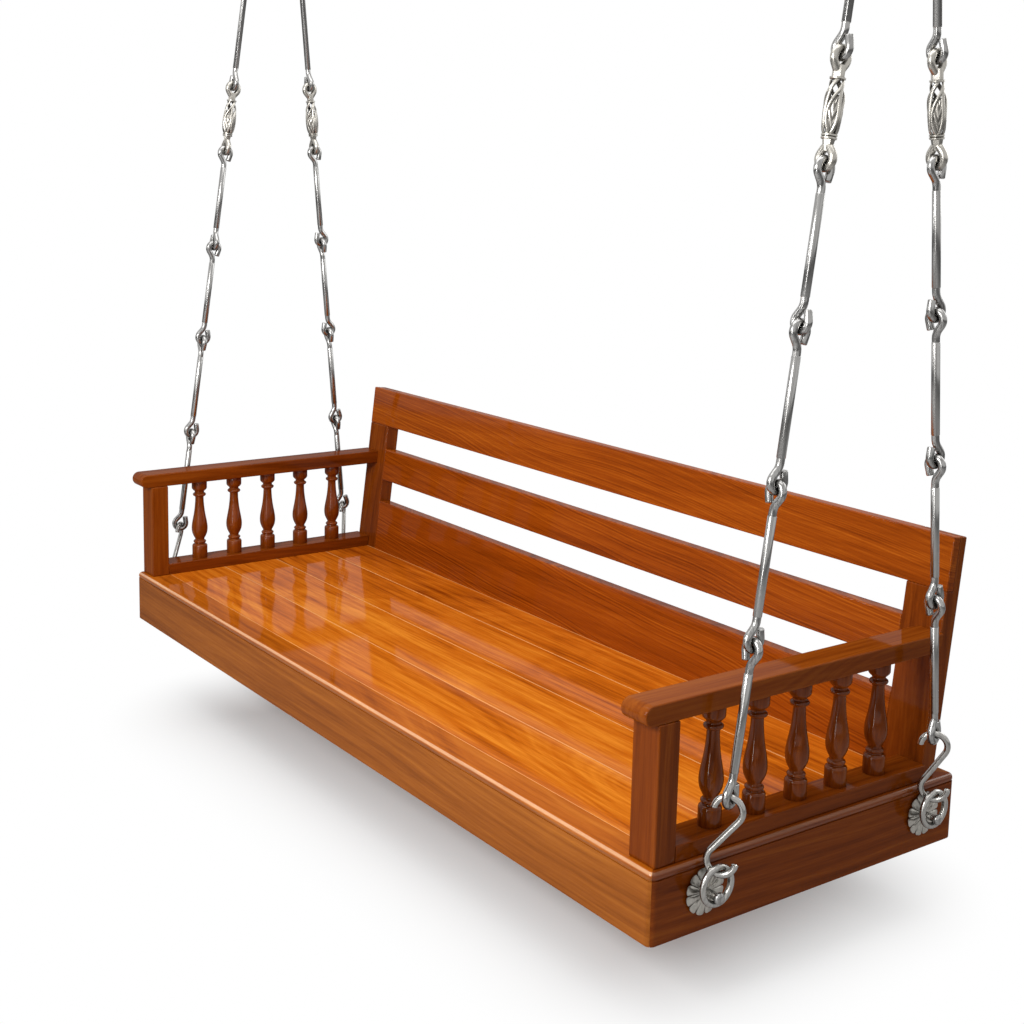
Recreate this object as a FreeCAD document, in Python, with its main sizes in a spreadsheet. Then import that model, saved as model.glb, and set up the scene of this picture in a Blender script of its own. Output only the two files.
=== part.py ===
"""Jhoola swing: a framed plank seat with a leaning back and turned arms.

The seat hangs on four rod chains that meet in pairs at two ceiling hooks.
X runs along the seat (left is minus X), Y runs to the back and Z points up.
The origin lies on the ceiling, midway between the two hooks.
"""
import FreeCAD
import Part
import Sketcher

import math
import os
import re

Vector = FreeCAD.Vector
X_AXIS = Vector(1, 0, 0)
Y_AXIS = Vector(0, 1, 0)
Z_AXIS = Vector(0, 0, 1)

# Driving dimensions in millimetres and degrees
SIZES = {
    # Seat frame
    "seat_length": 1830,
    "seat_depth": 650,
    "beam_height": 110,
    "beam_width": 54,
    "corner_round": 11,
    "bead_height": 11,
    "bead_chamfer": 4,
    "groove_height": 2,
    "groove_depth": 1.5,
    "plank_count": 4,
    "plank_thickness": 22,
    "plank_ease": 1.2,
    "bearer_count": 3,
    "bearer_width": 60,
    "bearer_depth": 40,
    # Back
    "back_foot_inset": 70,
    "back_lean": 6.7,
    "back_thickness": 32,
    "back_inset": 18,
    "back_post_width": 82,
    "back_height": 396,
    "board_height": 120,
    "middle_rail_rise": 174,
    "middle_rail_height": 76,
    "top_rail_height": 89,
    "tenon_length": 22,
    "tenon_thickness": 12,
    "tenon_shoulder": 14,
    "joint_clearance": 0.1,
    "wood_ease": 2,
    # Arms
    "arm_inset": 12,
    "post_width": 56,
    "post_depth": 39,
    "post_setback": 12,
    "arm_height": 239,
    "arm_rail_width": 54,
    "arm_rail_thickness": 30,
    "arm_rail_ease": 4,
    "arm_overhang": 25,
    "foot_rail_height": 25,
    "baluster_count": 5,
    "baluster_radius": 18.5,
    # Studs through the end beams
    "stud_height": 62,
    "front_stud_inset": 98,
    "rear_stud_inset": 81,
    "stud_radius": 6,
    "stud_standoff": 22,
    "stud_head_radius": 8.5,
    "stud_head_length": 8,
    "stud_head_crown": 3,
    "stud_tail": 3,
    "rosette_radius": 36,
    "rosette_thickness": 4,
    "petal_count": 12,
    "petal_notch": 7,
    "washer_width": 30,
    "washer_thickness": 3,
    "nut_width": 19,
    "nut_height": 10,
    # Chains
    "link_clearance": 0.3,
    "crossing_clearance": 0.9,
    "ring_wire": 10,
    "ring_radius": 27,
    "hook_wire": 10,
    "hook_curl_radius": 20.5,
    "hook_rise": 112,
    "hook_turn": 38,
    "hook_tip": 6,
    "rod_wire": 12,
    "eye_slack": 0.9,
    "eye_bend": 37,
    "stub_rise": 14,
    "rod_pitch": 223,
    "cast_link_pitch": 150,
    "cast_neck_length": 16,
    "cast_neck_radius": 9,
    "cast_neck_waist": 6.5,
    "cast_collar_radius": 11.5,
    "cast_collar_height": 4,
    "leaf_count": 4,
    "leaf_width": 15,
    "leaf_thickness": 2.5,
    "leaf_reach": 13.5,
    "leaf_turn": 100,
    # Ceiling parts
    "hang_height": 2080,
    "hook_setback": 380,
    "plate_width": 100,
    "plate_thickness": 6,
    "plate_hole_radius": 5.5,
    "plate_hole_spacing": 70,
    "ceiling_hook_wire": 16,
    "ceiling_hook_drop": 98,
    "ceiling_hook_bend": 14,
    "ceiling_hook_run": 20,
    "ceiling_hook_shank": 24,
    "ceiling_hook_tip": 34,
    "delta_wire": 14,
    "delta_height": 85,
    "delta_half_base": 28,
    "delta_corner": 14,
    "delta_eye_offset": 9,
    "cut_overrun": 5,
}

# Outline of a baluster from the foot up: (share of the height, share of the largest radius)
BALUSTER_SHARES = [
    (0.00, 0.94),
    (0.12, 0.94),
    (0.16, 0.60),
    (0.35, 1.00),
    (0.50, 0.80),
    (0.78, 0.50),
    (0.81, 0.82),
    (0.85, 0.56),
    (0.88, 0.94),
    (1.00, 0.94),
]

# Distance from the front of the seat to the foot of the back
BACK_FOOT = "(seat_depth - back_foot_inset)"

# Turns of each rod's lower and upper eye from the seat up; 0 opens outwards, 90 to the rear
FRONT_EYE_TURNS = [(107, 180), (90, 180), (90, 90), (0, 90)]
REAR_EYE_TURNS = [(107, 180), (90, 180), (270, 180), (270, 90)]

# Scallop of one petal: (share of the petal's turn, share of the notch left standing)
PETAL_SHARES = [(0.00, 0), (0.25, 1), (0.75, 1)]

# Counts of the straight runs that stand for round bends
EYE_FOOT_STEPS = 3
EYE_STEPS = 5
CURL_TIP_STEPS = 2
CURL_SHANK_STEPS = 3
RING_STEPS = 8
CAST_RING_STEPS = 6
APEX_STEPS = 3
CORNER_STEPS = 2
BEND_STEPS = 2
NOSE_STEPS = 4
LEAF_STATIONS = 5

# Counts of the flat sides that stand for round sections
BAR_SIDES = 8
TURNED_SIDES = 8
NUT_SIDES = 6

doc = FreeCAD.newDocument("jhoola_swing")
sheet = doc.addObject("Spreadsheet::Sheet", "Sizes")
nodes = []


# Driving dimensions and ties to them


def fill_sheet():
    """Write every driving dimension into the sheet under its own alias."""
    for row, (alias, value) in enumerate(SIZES.items(), start=1):
        sheet.set(f"A{row}", alias)
        sheet.set(f"B{row}", str(value))
        sheet.setAlias(f"B{row}", alias)
    doc.recompute()


def size(alias):
    """Value of one driving dimension, read from the sheet."""
    return float(sheet.get(alias))


def tied(expression):
    """Expression with each dimension's name pointed at the sheet."""
    return re.sub(r"[a-z]+(?:_[a-z]+)+", lambda word: f"Sizes.{word.group(0)}", str(expression))


def worked_out(expression):
    """Present value of an expression in dimension names."""
    value = sheet.evalExpression(tied(expression))
    return float(getattr(value, "Value", value))


def bind(target, **properties):
    """Tie properties to expressions; two underscores in a name stand for a dot."""
    for name, expression in properties.items():
        target.setExpression(name.replace("__", "."), tied(expression))


def place(target, x, y, z, axis=None, angle="0"):
    """Tie an object's place, and its turn about one axis, to the sheet."""
    if axis is not None:
        target.Placement = FreeCAD.Placement(Vector(), FreeCAD.Rotation(axis, 1))
        bind(target, Placement__Rotation__Angle=angle)
    bind(target, Placement__Base__x=x, Placement__Base__y=y, Placement__Base__z=z)


def node(label, target):
    """Name an object and list it among the pieces that are written out."""
    target.Label = label
    nodes.append(target)
    return target


def solid_node(label, shape, placement=None):
    """Piece whose shape is built from formulas."""
    piece = doc.addObject("Part::Feature", label)
    piece.Shape = shape
    piece.Placement = placement or FreeCAD.Placement()
    return node(label, piece)


# Sketches and features


def new_body(name):
    """Empty body in the document."""
    return doc.addObject("PartDesign::Body", name)


def new_sketch(body, name, role, rise):
    """Sketch on an origin plane of the body, raised along the plane's normal."""
    sketch = body.newObject("Sketcher::SketchObject", name)
    plane = next(item for item in body.Origin.OriginFeatures if item.Role == role)
    sketch.AttachmentSupport = [(plane, "")]
    sketch.MapMode = "FlatFace"
    if rise != "0":
        bind(sketch, AttachmentOffset__Base__z=rise)
    return sketch


def constrain(sketch, kind, *target, expression, value):
    """Add one dimension to a sketch and tie it to the sheet."""
    number = sketch.addConstraint(Sketcher.Constraint(kind, *target, value))
    sketch.setExpression(f"Constraints[{number}]", tied(expression))


def outline(body, name, role, corners, rise="0"):
    """Closed sketch of straight lines through corners given as (x, y) expressions."""
    sketch = new_sketch(body, name, role, rise)
    points = [Vector(worked_out(x), worked_out(y), 0) for x, y in corners]
    for index, point in enumerate(points):
        sketch.addGeometry(Part.LineSegment(points[index - 1], point), False)
    for index in range(len(points)):
        sketch.addConstraint(Sketcher.Constraint("Coincident", index, 2, (index + 1) % len(points), 1))
    for index, (x, y) in enumerate(corners):
        constrain(sketch, "DistanceX", -1, 1, index, 2, expression=x, value=points[index].x)
        constrain(sketch, "DistanceY", -1, 1, index, 2, expression=y, value=points[index].y)
    return sketch


def circles(body, name, role, centres, radius, rise="0"):
    """Sketch of equal circles about centres given as expressions."""
    sketch = new_sketch(body, name, role, rise)
    for index, (x, y) in enumerate(centres):
        centre = Vector(worked_out(x), worked_out(y), 0)
        sketch.addGeometry(Part.Circle(centre, Z_AXIS, worked_out(radius)), False)
        constrain(sketch, "DistanceX", -1, 1, index, 3, expression=x, value=centre.x)
        constrain(sketch, "DistanceY", -1, 1, index, 3, expression=y, value=centre.y)
        constrain(sketch, "Radius", index, expression=radius, value=worked_out(radius))
    return sketch


def pad(body, sketch, length, both_ways=False):
    """Pad a sketch by a length, to one side or evenly to both."""
    feature = body.newObject("PartDesign::Pad", f"{sketch.Name}_pad")
    feature.Profile = sketch
    feature.SideType = "Symmetric" if both_ways else "One side"
    bind(feature, Length=length)
    doc.recompute()
    return feature


def pocket(body, sketch, length, both_ways=False, along_normal=False):
    """Cut a sketch out of the body and make sure that something was cut."""
    before = body.Shape.Volume
    feature = body.newObject("PartDesign::Pocket", f"{sketch.Name}_pocket")
    feature.Profile = sketch
    feature.SideType = "Symmetric" if both_ways else "One side"
    feature.Reversed = along_normal
    bind(feature, Length=length)
    doc.recompute()
    if body.Shape.Volume >= before:
        raise RuntimeError(f"{feature.Name} cuts nothing")
    return feature


def chamfered(body, feature, width, wanted):
    """Chamfer the edges of a feature whose midpoint and direction pass the test."""
    names = []
    for number, edge in enumerate(feature.Shape.Edges, start=1):
        parameter = (edge.FirstParameter + edge.LastParameter) / 2
        if wanted(edge.valueAt(parameter), edge.tangentAt(parameter)):
            names.append(f"Edge{number}")
    chamfer = body.newObject("PartDesign::Chamfer", f"{feature.Name}_chamfer")
    chamfer.Base = (feature, names)
    bind(chamfer, Size=width)
    doc.recompute()
    return chamfer


def near(value, target):
    """Whether two coordinates are the same within rounding."""
    return math.isclose(value, target, abs_tol=1e-4)


# Seat


def beam_corners(run, inset):
    """Plan of a mitred beam with eased outer corners, its outer face along Y zero."""
    diagonal = f"corner_round - (corner_round - {inset}) * sqrt(0.5)"
    return [
        (f"{run} / 2 - corner_round", inset),
        (f"{run} / 2 - ({diagonal})", diagonal),
        (f"{run} / 2 - beam_width", "beam_width"),
        (f"-{run} / 2 + beam_width", "beam_width"),
        (f"-{run} / 2 + ({diagonal})", diagonal),
        (f"-{run} / 2 + corner_round", inset),
    ]


def bore_corners(x, y, radius):
    """Corners of a faceted bore with the section area of a round one."""
    turn = 360 / TURNED_SIDES
    corner = f"{radius} * sqrt({turn} * pi / 180 / sin({turn}))"
    corners = []
    for number in range(TURNED_SIDES):
        angle = (number + 0.5) * turn
        corners.append((f"{x} + {corner} * sin({angle})", f"{y} + {corner} * cos({angle})"))
    return corners


def seat_beam(label, run, x, y, turn, stud_places=()):
    """Mitred beam of the seat frame with a groove and an eased bead along its top."""
    body = new_body(label)
    groove_rise = "beam_height - bead_height - groove_height"
    bead_rise = "beam_height - bead_height"
    pad(body, outline(body, "face", "XY_Plane", beam_corners(run, "0")), groove_rise)
    neck = outline(body, "groove", "XY_Plane", beam_corners(run, "groove_depth"), groove_rise)
    pad(body, neck, "groove_height")
    bead = pad(body, outline(body, "bead", "XY_Plane", beam_corners(run, "0"), bead_rise), "bead_height")
    top = size("beam_height")
    round_zone = size("corner_round")
    chamfered(body, bead, "bead_chamfer", lambda point, line: near(point.z, top) and point.y < round_zone)
    for number, stud in enumerate(stud_places):
        corners = bore_corners(stud, "stud_height", "(stud_radius + joint_clearance)")
        bore = outline(body, f"stud_bore_{number}", "XZ_Plane", corners)
        pocket(body, bore, "2 * (beam_width + cut_overrun)", both_ways=True)
    place(body, x, y, "-(hang_height + beam_height)", Z_AXIS, turn)
    node(label, body)


def seat_frame():
    """Four mitred beams round the planks; the end beams are bored for the studs."""
    middle_y = "seat_depth / 2 - hook_setback"
    front_stud = "seat_depth / 2 - front_stud_inset"
    rear_stud = "rear_stud_inset - seat_depth / 2"
    seat_beam("front_beam", "seat_length", "0", "-hook_setback", "0")
    seat_beam("rear_beam", "seat_length", "0", "seat_depth - hook_setback", "180")
    left_studs = (front_stud, rear_stud)
    right_studs = (f"-({front_stud})", f"-({rear_stud})")
    seat_beam("left_end_beam", "seat_depth", "-seat_length / 2", middle_y, "-90", left_studs)
    seat_beam("right_end_beam", "seat_depth", "seat_length / 2", middle_y, "90", right_studs)


def seat_planks():
    """Planks side by side between the beams, their top edges eased into fine grooves."""
    half = "(seat_length / 2 - beam_width)"
    width = "(seat_depth - 2 * beam_width) / plank_count"
    for number in range(int(size("plank_count"))):
        label = f"seat_plank_{number + 1}"
        body = new_body(label)
        corners = [(f"-{half}", "0"), (half, "0"), (half, width), (f"-{half}", width)]
        slab = pad(body, outline(body, "plan", "XY_Plane", corners), "plank_thickness")
        top = size("plank_thickness")
        chamfered(body, slab, "plank_ease", lambda point, line: near(point.z, top))
        start = f"beam_width + {number} * ({width}) - hook_setback"
        place(body, "0", start, "-(hang_height + plank_thickness)")
        node(label, body)


def plank_bearers():
    """Cross bearers under the planks, as one group of separate bars."""
    bars = []
    for number in range(int(size("bearer_count"))):
        bar = doc.addObject("Part::Box", f"bearer_{number + 1}")
        bind(bar, Length="bearer_width", Width="seat_depth - 2 * beam_width", Height="bearer_depth")
        middle = f"(({number} + 1) / (bearer_count + 1) - 0.5) * (seat_length - 2 * beam_width)"
        low = "-(hang_height + plank_thickness + bearer_depth)"
        place(bar, f"{middle} - bearer_width / 2", "beam_width - hook_setback", low)
        bars.append(bar)
    group = doc.addObject("Part::Compound", "plank_bearers")
    group.Links = bars
    node("plank_bearers", group)


# Back, drawn upright and then leaned about the line where its front face meets the seat


def lean_back(body, x="0"):
    """Lean a piece of the back about the front edge of its foot."""
    place(body, x, f"{BACK_FOOT} - hook_setback", "-hang_height", X_AXIS, "-back_lean")


def board_section(low, high):
    """Section of a board of the back between two heights."""
    return [("0", low), ("back_thickness", low), ("back_thickness", high), ("0", high)]


def tenon_section(low, high, clearance="0"):
    """Section of the tenon of a board between two heights, or of its mortise."""
    front = f"(back_thickness - tenon_thickness) / 2 - {clearance}"
    rear = f"(back_thickness + tenon_thickness) / 2 + {clearance}"
    foot = f"{low} + tenon_shoulder - {clearance}"
    head = f"{high} - tenon_shoulder + {clearance}"
    return [(front, foot), (rear, foot), (rear, head), (front, head)]


def back_post(label, x, inner_face, along_normal):
    """Leaning post with a level foot, a lap for the top rail and two mortises."""
    body = new_body(label)
    lap = "back_height - top_rail_height"
    corners = [
        ("0", "0"),
        ("back_thickness", "back_thickness * tan(back_lean)"),
        ("back_thickness", "back_height"),
        ("back_thickness / 2", "back_height"),
        ("back_thickness / 2", lap),
        ("0", lap),
    ]
    pad(body, outline(body, "side", "YZ_Plane", corners), "back_post_width")
    boards = [("0", "board_height"), ("middle_rail_rise", "middle_rail_rise + middle_rail_height")]
    for number, (low, high) in enumerate(boards):
        section = tenon_section(low, high, "joint_clearance")
        mortise = outline(body, f"mortise_{number}", "YZ_Plane", section, inner_face)
        pocket(body, mortise, "tenon_length + joint_clearance", along_normal=along_normal)
    lean_back(body, x)
    node(label, body)


def back_board(label, section, low, high):
    """Board between the back posts with a tenon at each end."""
    body = new_body(label)
    between = "seat_length - 2 * (back_inset + back_post_width)"
    board = pad(body, outline(body, "board", "YZ_Plane", section), between, both_ways=True)
    top = worked_out(high)
    chamfered(body, board, "wood_ease", lambda point, line: near(point.z, top) and near(point.y, 0))
    tenon = outline(body, "tenon", "YZ_Plane", tenon_section(low, high))
    pad(body, tenon, f"{between} + 2 * tenon_length", both_ways=True)
    lean_back(body)
    node(label, body)


def top_rail():
    """Rail over the full width, halved over the posts at both ends."""
    end = "(seat_length / 2 - back_inset)"
    shoulder = "(seat_length / 2 - back_inset - back_post_width)"
    corners = [
        (f"-{end}", "0"),
        (end, "0"),
        (end, "back_thickness / 2"),
        (shoulder, "back_thickness / 2"),
        (shoulder, "back_thickness"),
        (f"-{shoulder}", "back_thickness"),
        (f"-{shoulder}", "back_thickness / 2"),
        (f"-{end}", "back_thickness / 2"),
    ]
    body = new_body("back_top_rail")
    plan = outline(body, "plan", "XY_Plane", corners, "back_height - top_rail_height")
    rail = pad(body, plan, "top_rail_height")
    top = size("back_height")
    chamfered(body, rail, "wood_ease", lambda point, line: near(point.z, top) and near(point.y, 0))
    lean_back(body)
    node("back_top_rail", body)


def seat_back():
    """Leaning back: two posts, a top rail, a middle rail and a board on the seat."""
    outer = "(seat_length / 2 - back_inset)"
    back_post("left_back_post", f"-{outer}", "back_post_width", False)
    back_post("right_back_post", f"{outer} - back_post_width", "0", True)
    top_rail()
    rail_top = "middle_rail_rise + middle_rail_height"
    rail_section = board_section("middle_rail_rise", rail_top)
    back_board("back_middle_rail", rail_section, "middle_rail_rise", rail_top)
    board = board_section("0", "board_height")
    board[1] = ("back_thickness", "back_thickness * tan(back_lean)")
    back_board("back_bottom_board", board, "0", "board_height")


# Arms


def arm_post(label, x):
    """Square front post of an arm with eased upright edges."""
    body = new_body(label)
    half = "post_width / 2"
    corners = [(f"-{half}", "0"), (half, "0"), (half, "post_depth"), (f"-{half}", "post_depth")]
    shaft = pad(body, outline(body, "plan", "XY_Plane", corners), "arm_height - arm_rail_thickness")
    chamfered(body, shaft, "wood_ease", lambda point, line: near(abs(line.z), 1))
    place(body, x, "post_setback - hook_setback", "-hang_height")
    node(label, body)


def arm_rail(label, x):
    """Arm rail with a nose of flats in front and a rear end cut to the leaning back."""
    body = new_body(label)
    tip = "(post_setback - arm_overhang)"
    low = "(arm_height - arm_rail_thickness)"
    corners = [
        (f"{BACK_FOOT} + {low} * tan(back_lean)", low),
        (f"{BACK_FOOT} + arm_height * tan(back_lean)", "arm_height"),
    ]
    turn = 180 / NOSE_STEPS
    for number in range(NOSE_STEPS + 1):
        angle = 90 + number * turn
        across = f"{tip} + arm_rail_thickness / 2 * (1 + cos({angle}))"
        corners.append((across, f"{low} + arm_rail_thickness / 2 * (1 + sin({angle}))"))
    bar = pad(body, outline(body, "side", "YZ_Plane", corners), "arm_rail_width", both_ways=True)
    side = size("arm_rail_width") / 2
    rear = worked_out(f"{BACK_FOOT} + {low} * tan(back_lean)")
    chamfered(
        body,
        bar,
        "arm_rail_ease",
        lambda point, line: near(abs(point.x), side) and point.y < rear,
    )
    place(body, x, "-hook_setback", "-hang_height")
    node(label, body)


def arm_foot_rail(label, x):
    """Low rail on the seat that carries the balusters."""
    body = new_body(label)
    start = "post_setback + post_depth"
    corners = [
        (start, "0"),
        (BACK_FOOT, "0"),
        (f"{BACK_FOOT} + foot_rail_height * tan(back_lean)", "foot_rail_height"),
        (start, "foot_rail_height"),
    ]
    pad(body, outline(body, "side", "YZ_Plane", corners), "post_width", both_ways=True)
    place(body, x, "-hook_setback", "-hang_height")
    node(label, body)


def baluster():
    """One turned baluster standing on the origin; copies of it fill the arms."""
    height = size("arm_height") - size("arm_rail_thickness") - size("foot_rail_height")
    profile = []
    for height_share, radius_share in BALUSTER_SHARES:
        profile.append((height * height_share, size("baluster_radius") * radius_share))
    return turned(profile, TURNED_SIDES)


def arm_balusters(label, x, shape):
    """Row of separate balusters, evenly spaced between the post and the back."""
    count = int(size("baluster_count"))
    first = size("post_setback") + size("post_depth")
    gap = (worked_out(BACK_FOOT) - first) / (count + 1)
    low = size("foot_rail_height") - size("hang_height")
    copies = []
    for number in range(count):
        y = first + (number + 1) * gap - size("hook_setback")
        copies.append(shape.translated(Vector(x, y, low)))
    solid_node(label, Part.makeCompound(copies))


def arms():
    """Both arms: post, rail, foot rail and balusters."""
    shape = baluster()
    for side, sign in (("left", "-"), ("right", "")):
        middle = f"{sign}(seat_length / 2 - arm_inset - post_width / 2)"
        arm_post(f"{side}_arm_post", middle)
        arm_rail(f"{side}_arm_rail", middle)
        arm_foot_rail(f"{side}_arm_foot_rail", middle)
        arm_balusters(f"{side}_arm_balusters", worked_out(middle), shape)


# Studs, rosettes, washers and nuts


def stud_points():
    """Places of the four studs on the outer faces, as name, side and position."""
    height = size("stud_height") - size("hang_height") - size("beam_height")
    setbacks = {"front": size("front_stud_inset"), "rear": size("seat_depth") - size("rear_stud_inset")}
    points = []
    for side, sign in (("left", -1), ("right", 1)):
        for end, setback in setbacks.items():
            y = setback - size("hook_setback")
            points.append((f"{end}_{side}", sign, Vector(sign * size("seat_length") / 2, y, height)))
    return points


def outward(sign, point):
    """Placement that turns the Z axis to the outside of one end of the seat."""
    return FreeCAD.Placement(point, FreeCAD.Rotation(Y_AXIS, 90 * sign))


def stud():
    """Through stud along Z with a crowned head; its zero is the outer face of the beam."""
    inside = size("beam_width") + size("washer_thickness") + size("nut_height") + size("stud_tail")
    neck = size("stud_standoff") + size("ring_wire") / 2 + size("link_clearance")
    head = neck + size("stud_head_length")
    shaft = size("stud_radius")
    wide = size("stud_head_radius")
    crown = size("stud_head_crown")
    profile = [(-inside, shaft), (neck, shaft), (neck, wide), (head - crown, wide), (head, wide - crown)]
    return turned(profile, TURNED_SIDES)


def rosette_shape():
    """Flower plate with scalloped petals and a bore for the stud."""
    tip = size("rosette_radius")
    valley = tip - size("petal_notch")
    step = 2 * math.pi / size("petal_count")
    points = []
    for petal in range(int(size("petal_count"))):
        for turn_share, rise_share in PETAL_SHARES:
            radius = valley + (tip - valley) * rise_share
            angle = (petal + turn_share) * step
            points.append(Vector(radius * math.cos(angle), radius * math.sin(angle), 0))
    plate = Part.Face(Part.makePolygon(points + points[:1])).extrude(Z_AXIS * size("rosette_thickness"))
    return plate.cut(bore_cutter(size("rosette_thickness")))


def bore_cutter(length):
    """Bar a little longer than a plate, for the bore round a stud."""
    past = size("cut_overrun")
    radius = size("stud_radius") + size("joint_clearance")
    return turned([(-past, radius), (length + past, radius)], TURNED_SIDES)


def washer_shape():
    """Square washer plate with its bore."""
    width = size("washer_width")
    corner = Vector(-width / 2, -width / 2, 0)
    plate = Part.makeBox(width, width, size("washer_thickness"), corner)
    return plate.cut(bore_cutter(size("washer_thickness")))


def nut_shape():
    """Six-sided nut with its bore."""
    corner = size("nut_width") / math.sqrt(3)
    hexagon = regular_polygon(Vector(), Z_AXIS, X_AXIS, corner, NUT_SIDES)
    prism = Part.Face(hexagon).extrude(Z_AXIS * size("nut_height"))
    return prism.cut(bore_cutter(size("nut_height")))


def stud_sets():
    """Studs through the end beams, rosettes outside them, washers and nuts inside."""
    rosette = rosette_shape()
    through_stud = stud()
    washers = []
    nuts = []
    for name, sign, point in stud_points():
        solid_node(f"{name}_stud", through_stud.copy(), outward(sign, point))
        solid_node(f"{name}_rosette", rosette.copy(), outward(sign, point))
        washer_face = point - X_AXIS * sign * (size("beam_width") + size("washer_thickness"))
        nut_face = washer_face - X_AXIS * sign * size("nut_height")
        washers.append(placed(washer_shape(), outward(sign, washer_face)))
        nuts.append(placed(nut_shape(), outward(sign, nut_face)))
    solid_node("stud_washers", Part.makeCompound(washers))
    solid_node("stud_nuts", Part.makeCompound(nuts))


def placed(shape, placement):
    """Copy of a shape moved to a placement."""
    return shape.transformed(placement.Matrix, True)


# Bent bars and faceted turnings


def skinned(rings, warped=False):
    """Solid through a row of rings with equal counts of points; warped sides are split in two."""
    faces = [Part.Face(Part.makePolygon(ring + ring[:1])) for ring in (rings[0], rings[-1])]
    for low, high in zip(rings, rings[1:]):
        for index in range(len(low)):
            following = (index + 1) % len(low)
            corners = [low[index], low[following], high[following], high[index]]
            sides = [corners[:3], [corners[0], corners[2], corners[3]]] if warped else [corners]
            faces += [Part.Face(Part.makePolygon(side + side[:1])) for side in sides]
    shell = Part.makeShell(faces)
    shell.sewShape()
    return Part.makeSolid(shell)


def turned(profile, sides):
    """Turning about Z with flat sides, from a profile of (height, radius) pairs."""
    rings = []
    for height, radius in profile:
        corner = radius * math.sqrt(2 * math.pi / sides / math.sin(2 * math.pi / sides))
        wire = regular_polygon(Z_AXIS * height, Z_AXIS, X_AXIS, corner, sides)
        rings.append([vertex.Point for vertex in wire.OrderedVertexes][:sides])
    return skinned(rings)


def regular_polygon(centre, normal, across, corner, sides):
    """Closed polygon about a centre with one flat square to the across direction."""
    up = normal.cross(across).normalize()
    points = []
    for number in range(sides + 1):
        angle = (number + 0.5) * 2 * math.pi / sides
        points.append(centre + across * corner * math.cos(angle) + up * corner * math.sin(angle))
    return Part.makePolygon(points)


def bent_bar(points, wire, side, closed=False):
    """Bar along straight runs, mitred where they meet, with the section area of round wire."""
    corner = wire / 2 * math.sqrt(2 * math.pi / BAR_SIDES / math.sin(2 * math.pi / BAR_SIDES))
    route = [(points[-1] + points[0]) / 2] + points if closed else points
    along = (route[1] - route[0]).normalize()
    section = regular_polygon(route[0], along, side, corner, BAR_SIDES)
    spine = Part.makePolygon(route + route[:1] if closed else route)
    return spine.makePipeShell([section], True, False, 1)


def bend(centre, radius, first, step, count):
    """Corners of straight runs that touch an arc at even steps, as (across, up) pairs."""
    reach = radius / math.cos(math.radians(step / 2))
    corners = []
    for number in range(count):
        angle = math.radians(first + (number + 0.5) * step)
        corners.append((centre[0] + reach * math.cos(angle), centre[1] + reach * math.sin(angle)))
    return corners


def in_plane(pairs, turn, sign):
    """Points of (across, up) pairs in an upright plane turned about Z, mirrored for the left side."""
    across = Vector(sign * math.cos(math.radians(turn)), math.sin(math.radians(turn)), 0)
    return [across * pair[0] + Z_AXIS * pair[1] for pair in pairs]


def plane_normal(turn, sign):
    """Level normal of an upright plane turned about Z."""
    across = Vector(sign * math.cos(math.radians(turn)), math.sin(math.radians(turn)), 0)
    return across.cross(Z_AXIS)


# Chains, each drawn upright from the axis of its stud and then leaned to its hook


def eye_pairs(radius, foot_centre):
    """Open eye at the foot of a rod, from the stem round to the cut stub."""
    slant = size("eye_bend")
    first = 180 - slant
    step = (270 - first) / EYE_FOOT_STEPS
    corners = bend((0, 0), radius, first, step, EYE_STEPS)
    last = math.radians(first + EYE_STEPS * step)
    run = (size("stub_rise") - corners[-1][1]) / math.cos(last)
    stub = (corners[-1][0] - run * math.sin(last), size("stub_rise"))
    pairs = [(0, radius / math.sin(math.radians(slant)))] + corners + [stub]
    return [(across, up + foot_centre) for across, up in pairs]


def rod_eye_radius(held_wire):
    """Centreline radius of an eye that passes round a bar."""
    return (held_wire + size("rod_wire")) / 2 + size("eye_slack")


def rod_shape(low, high, high_radius, turns, sign):
    """Straight rod between two eye centres, its ends bent into open eyes."""
    lower = in_plane(eye_pairs(rod_eye_radius(size("rod_wire")), 0), turns[0], sign)
    upper = in_plane(eye_pairs(high_radius, 0), turns[1], sign)
    points = [point + Z_AXIS * low for point in reversed(lower)]
    points += [Vector(point.x, point.y, high - point.z) for point in upper]
    return bent_bar(points, size("rod_wire"), plane_normal(turns[0], sign))


def chain_levels():
    """Heights along a chain above the axis of its stud."""
    rod_eye = rod_eye_radius(size("rod_wire"))
    ring_foot = -(size("stud_radius") + size("ring_wire") / 2 + size("link_clearance"))
    ring_centre = ring_foot + size("ring_radius")
    ring_top = ring_centre + size("ring_radius")
    hook_foot = ring_top - (size("ring_wire") + size("hook_wire")) / 2 - size("crossing_clearance")
    hook_top = hook_foot + size("hook_rise")
    rod_foot = hook_top - (size("hook_wire") + size("rod_wire")) / 2 - size("crossing_clearance")
    joint_gap = 2 * rod_eye - size("rod_wire") - size("link_clearance")
    rods = [rod_foot + rod_eye + number * size("rod_pitch") for number in range(len(FRONT_EYE_TURNS))]
    cast_low = rods[-1] + size("rod_pitch")
    upper_low = cast_low + size("cast_link_pitch")
    return {
        "ring_centre": ring_centre,
        "ring_top": ring_top,
        "hook_foot": hook_foot,
        "hook_top": hook_top,
        "rods": rods,
        "rod_reach": size("rod_pitch") - joint_gap,
        "cast_low": cast_low,
        "cast_reach": size("cast_link_pitch") - joint_gap,
        "upper_low": upper_low,
    }


def ring_link(levels):
    """Round link that hangs on the stud and takes the hook."""
    steps = RING_STEPS
    pairs = bend((0, levels["ring_centre"]), size("ring_radius"), -90, 360 / steps, steps)
    return bent_bar(in_plane(pairs, 90, 1), size("ring_wire"), X_AXIS, closed=True)


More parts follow.
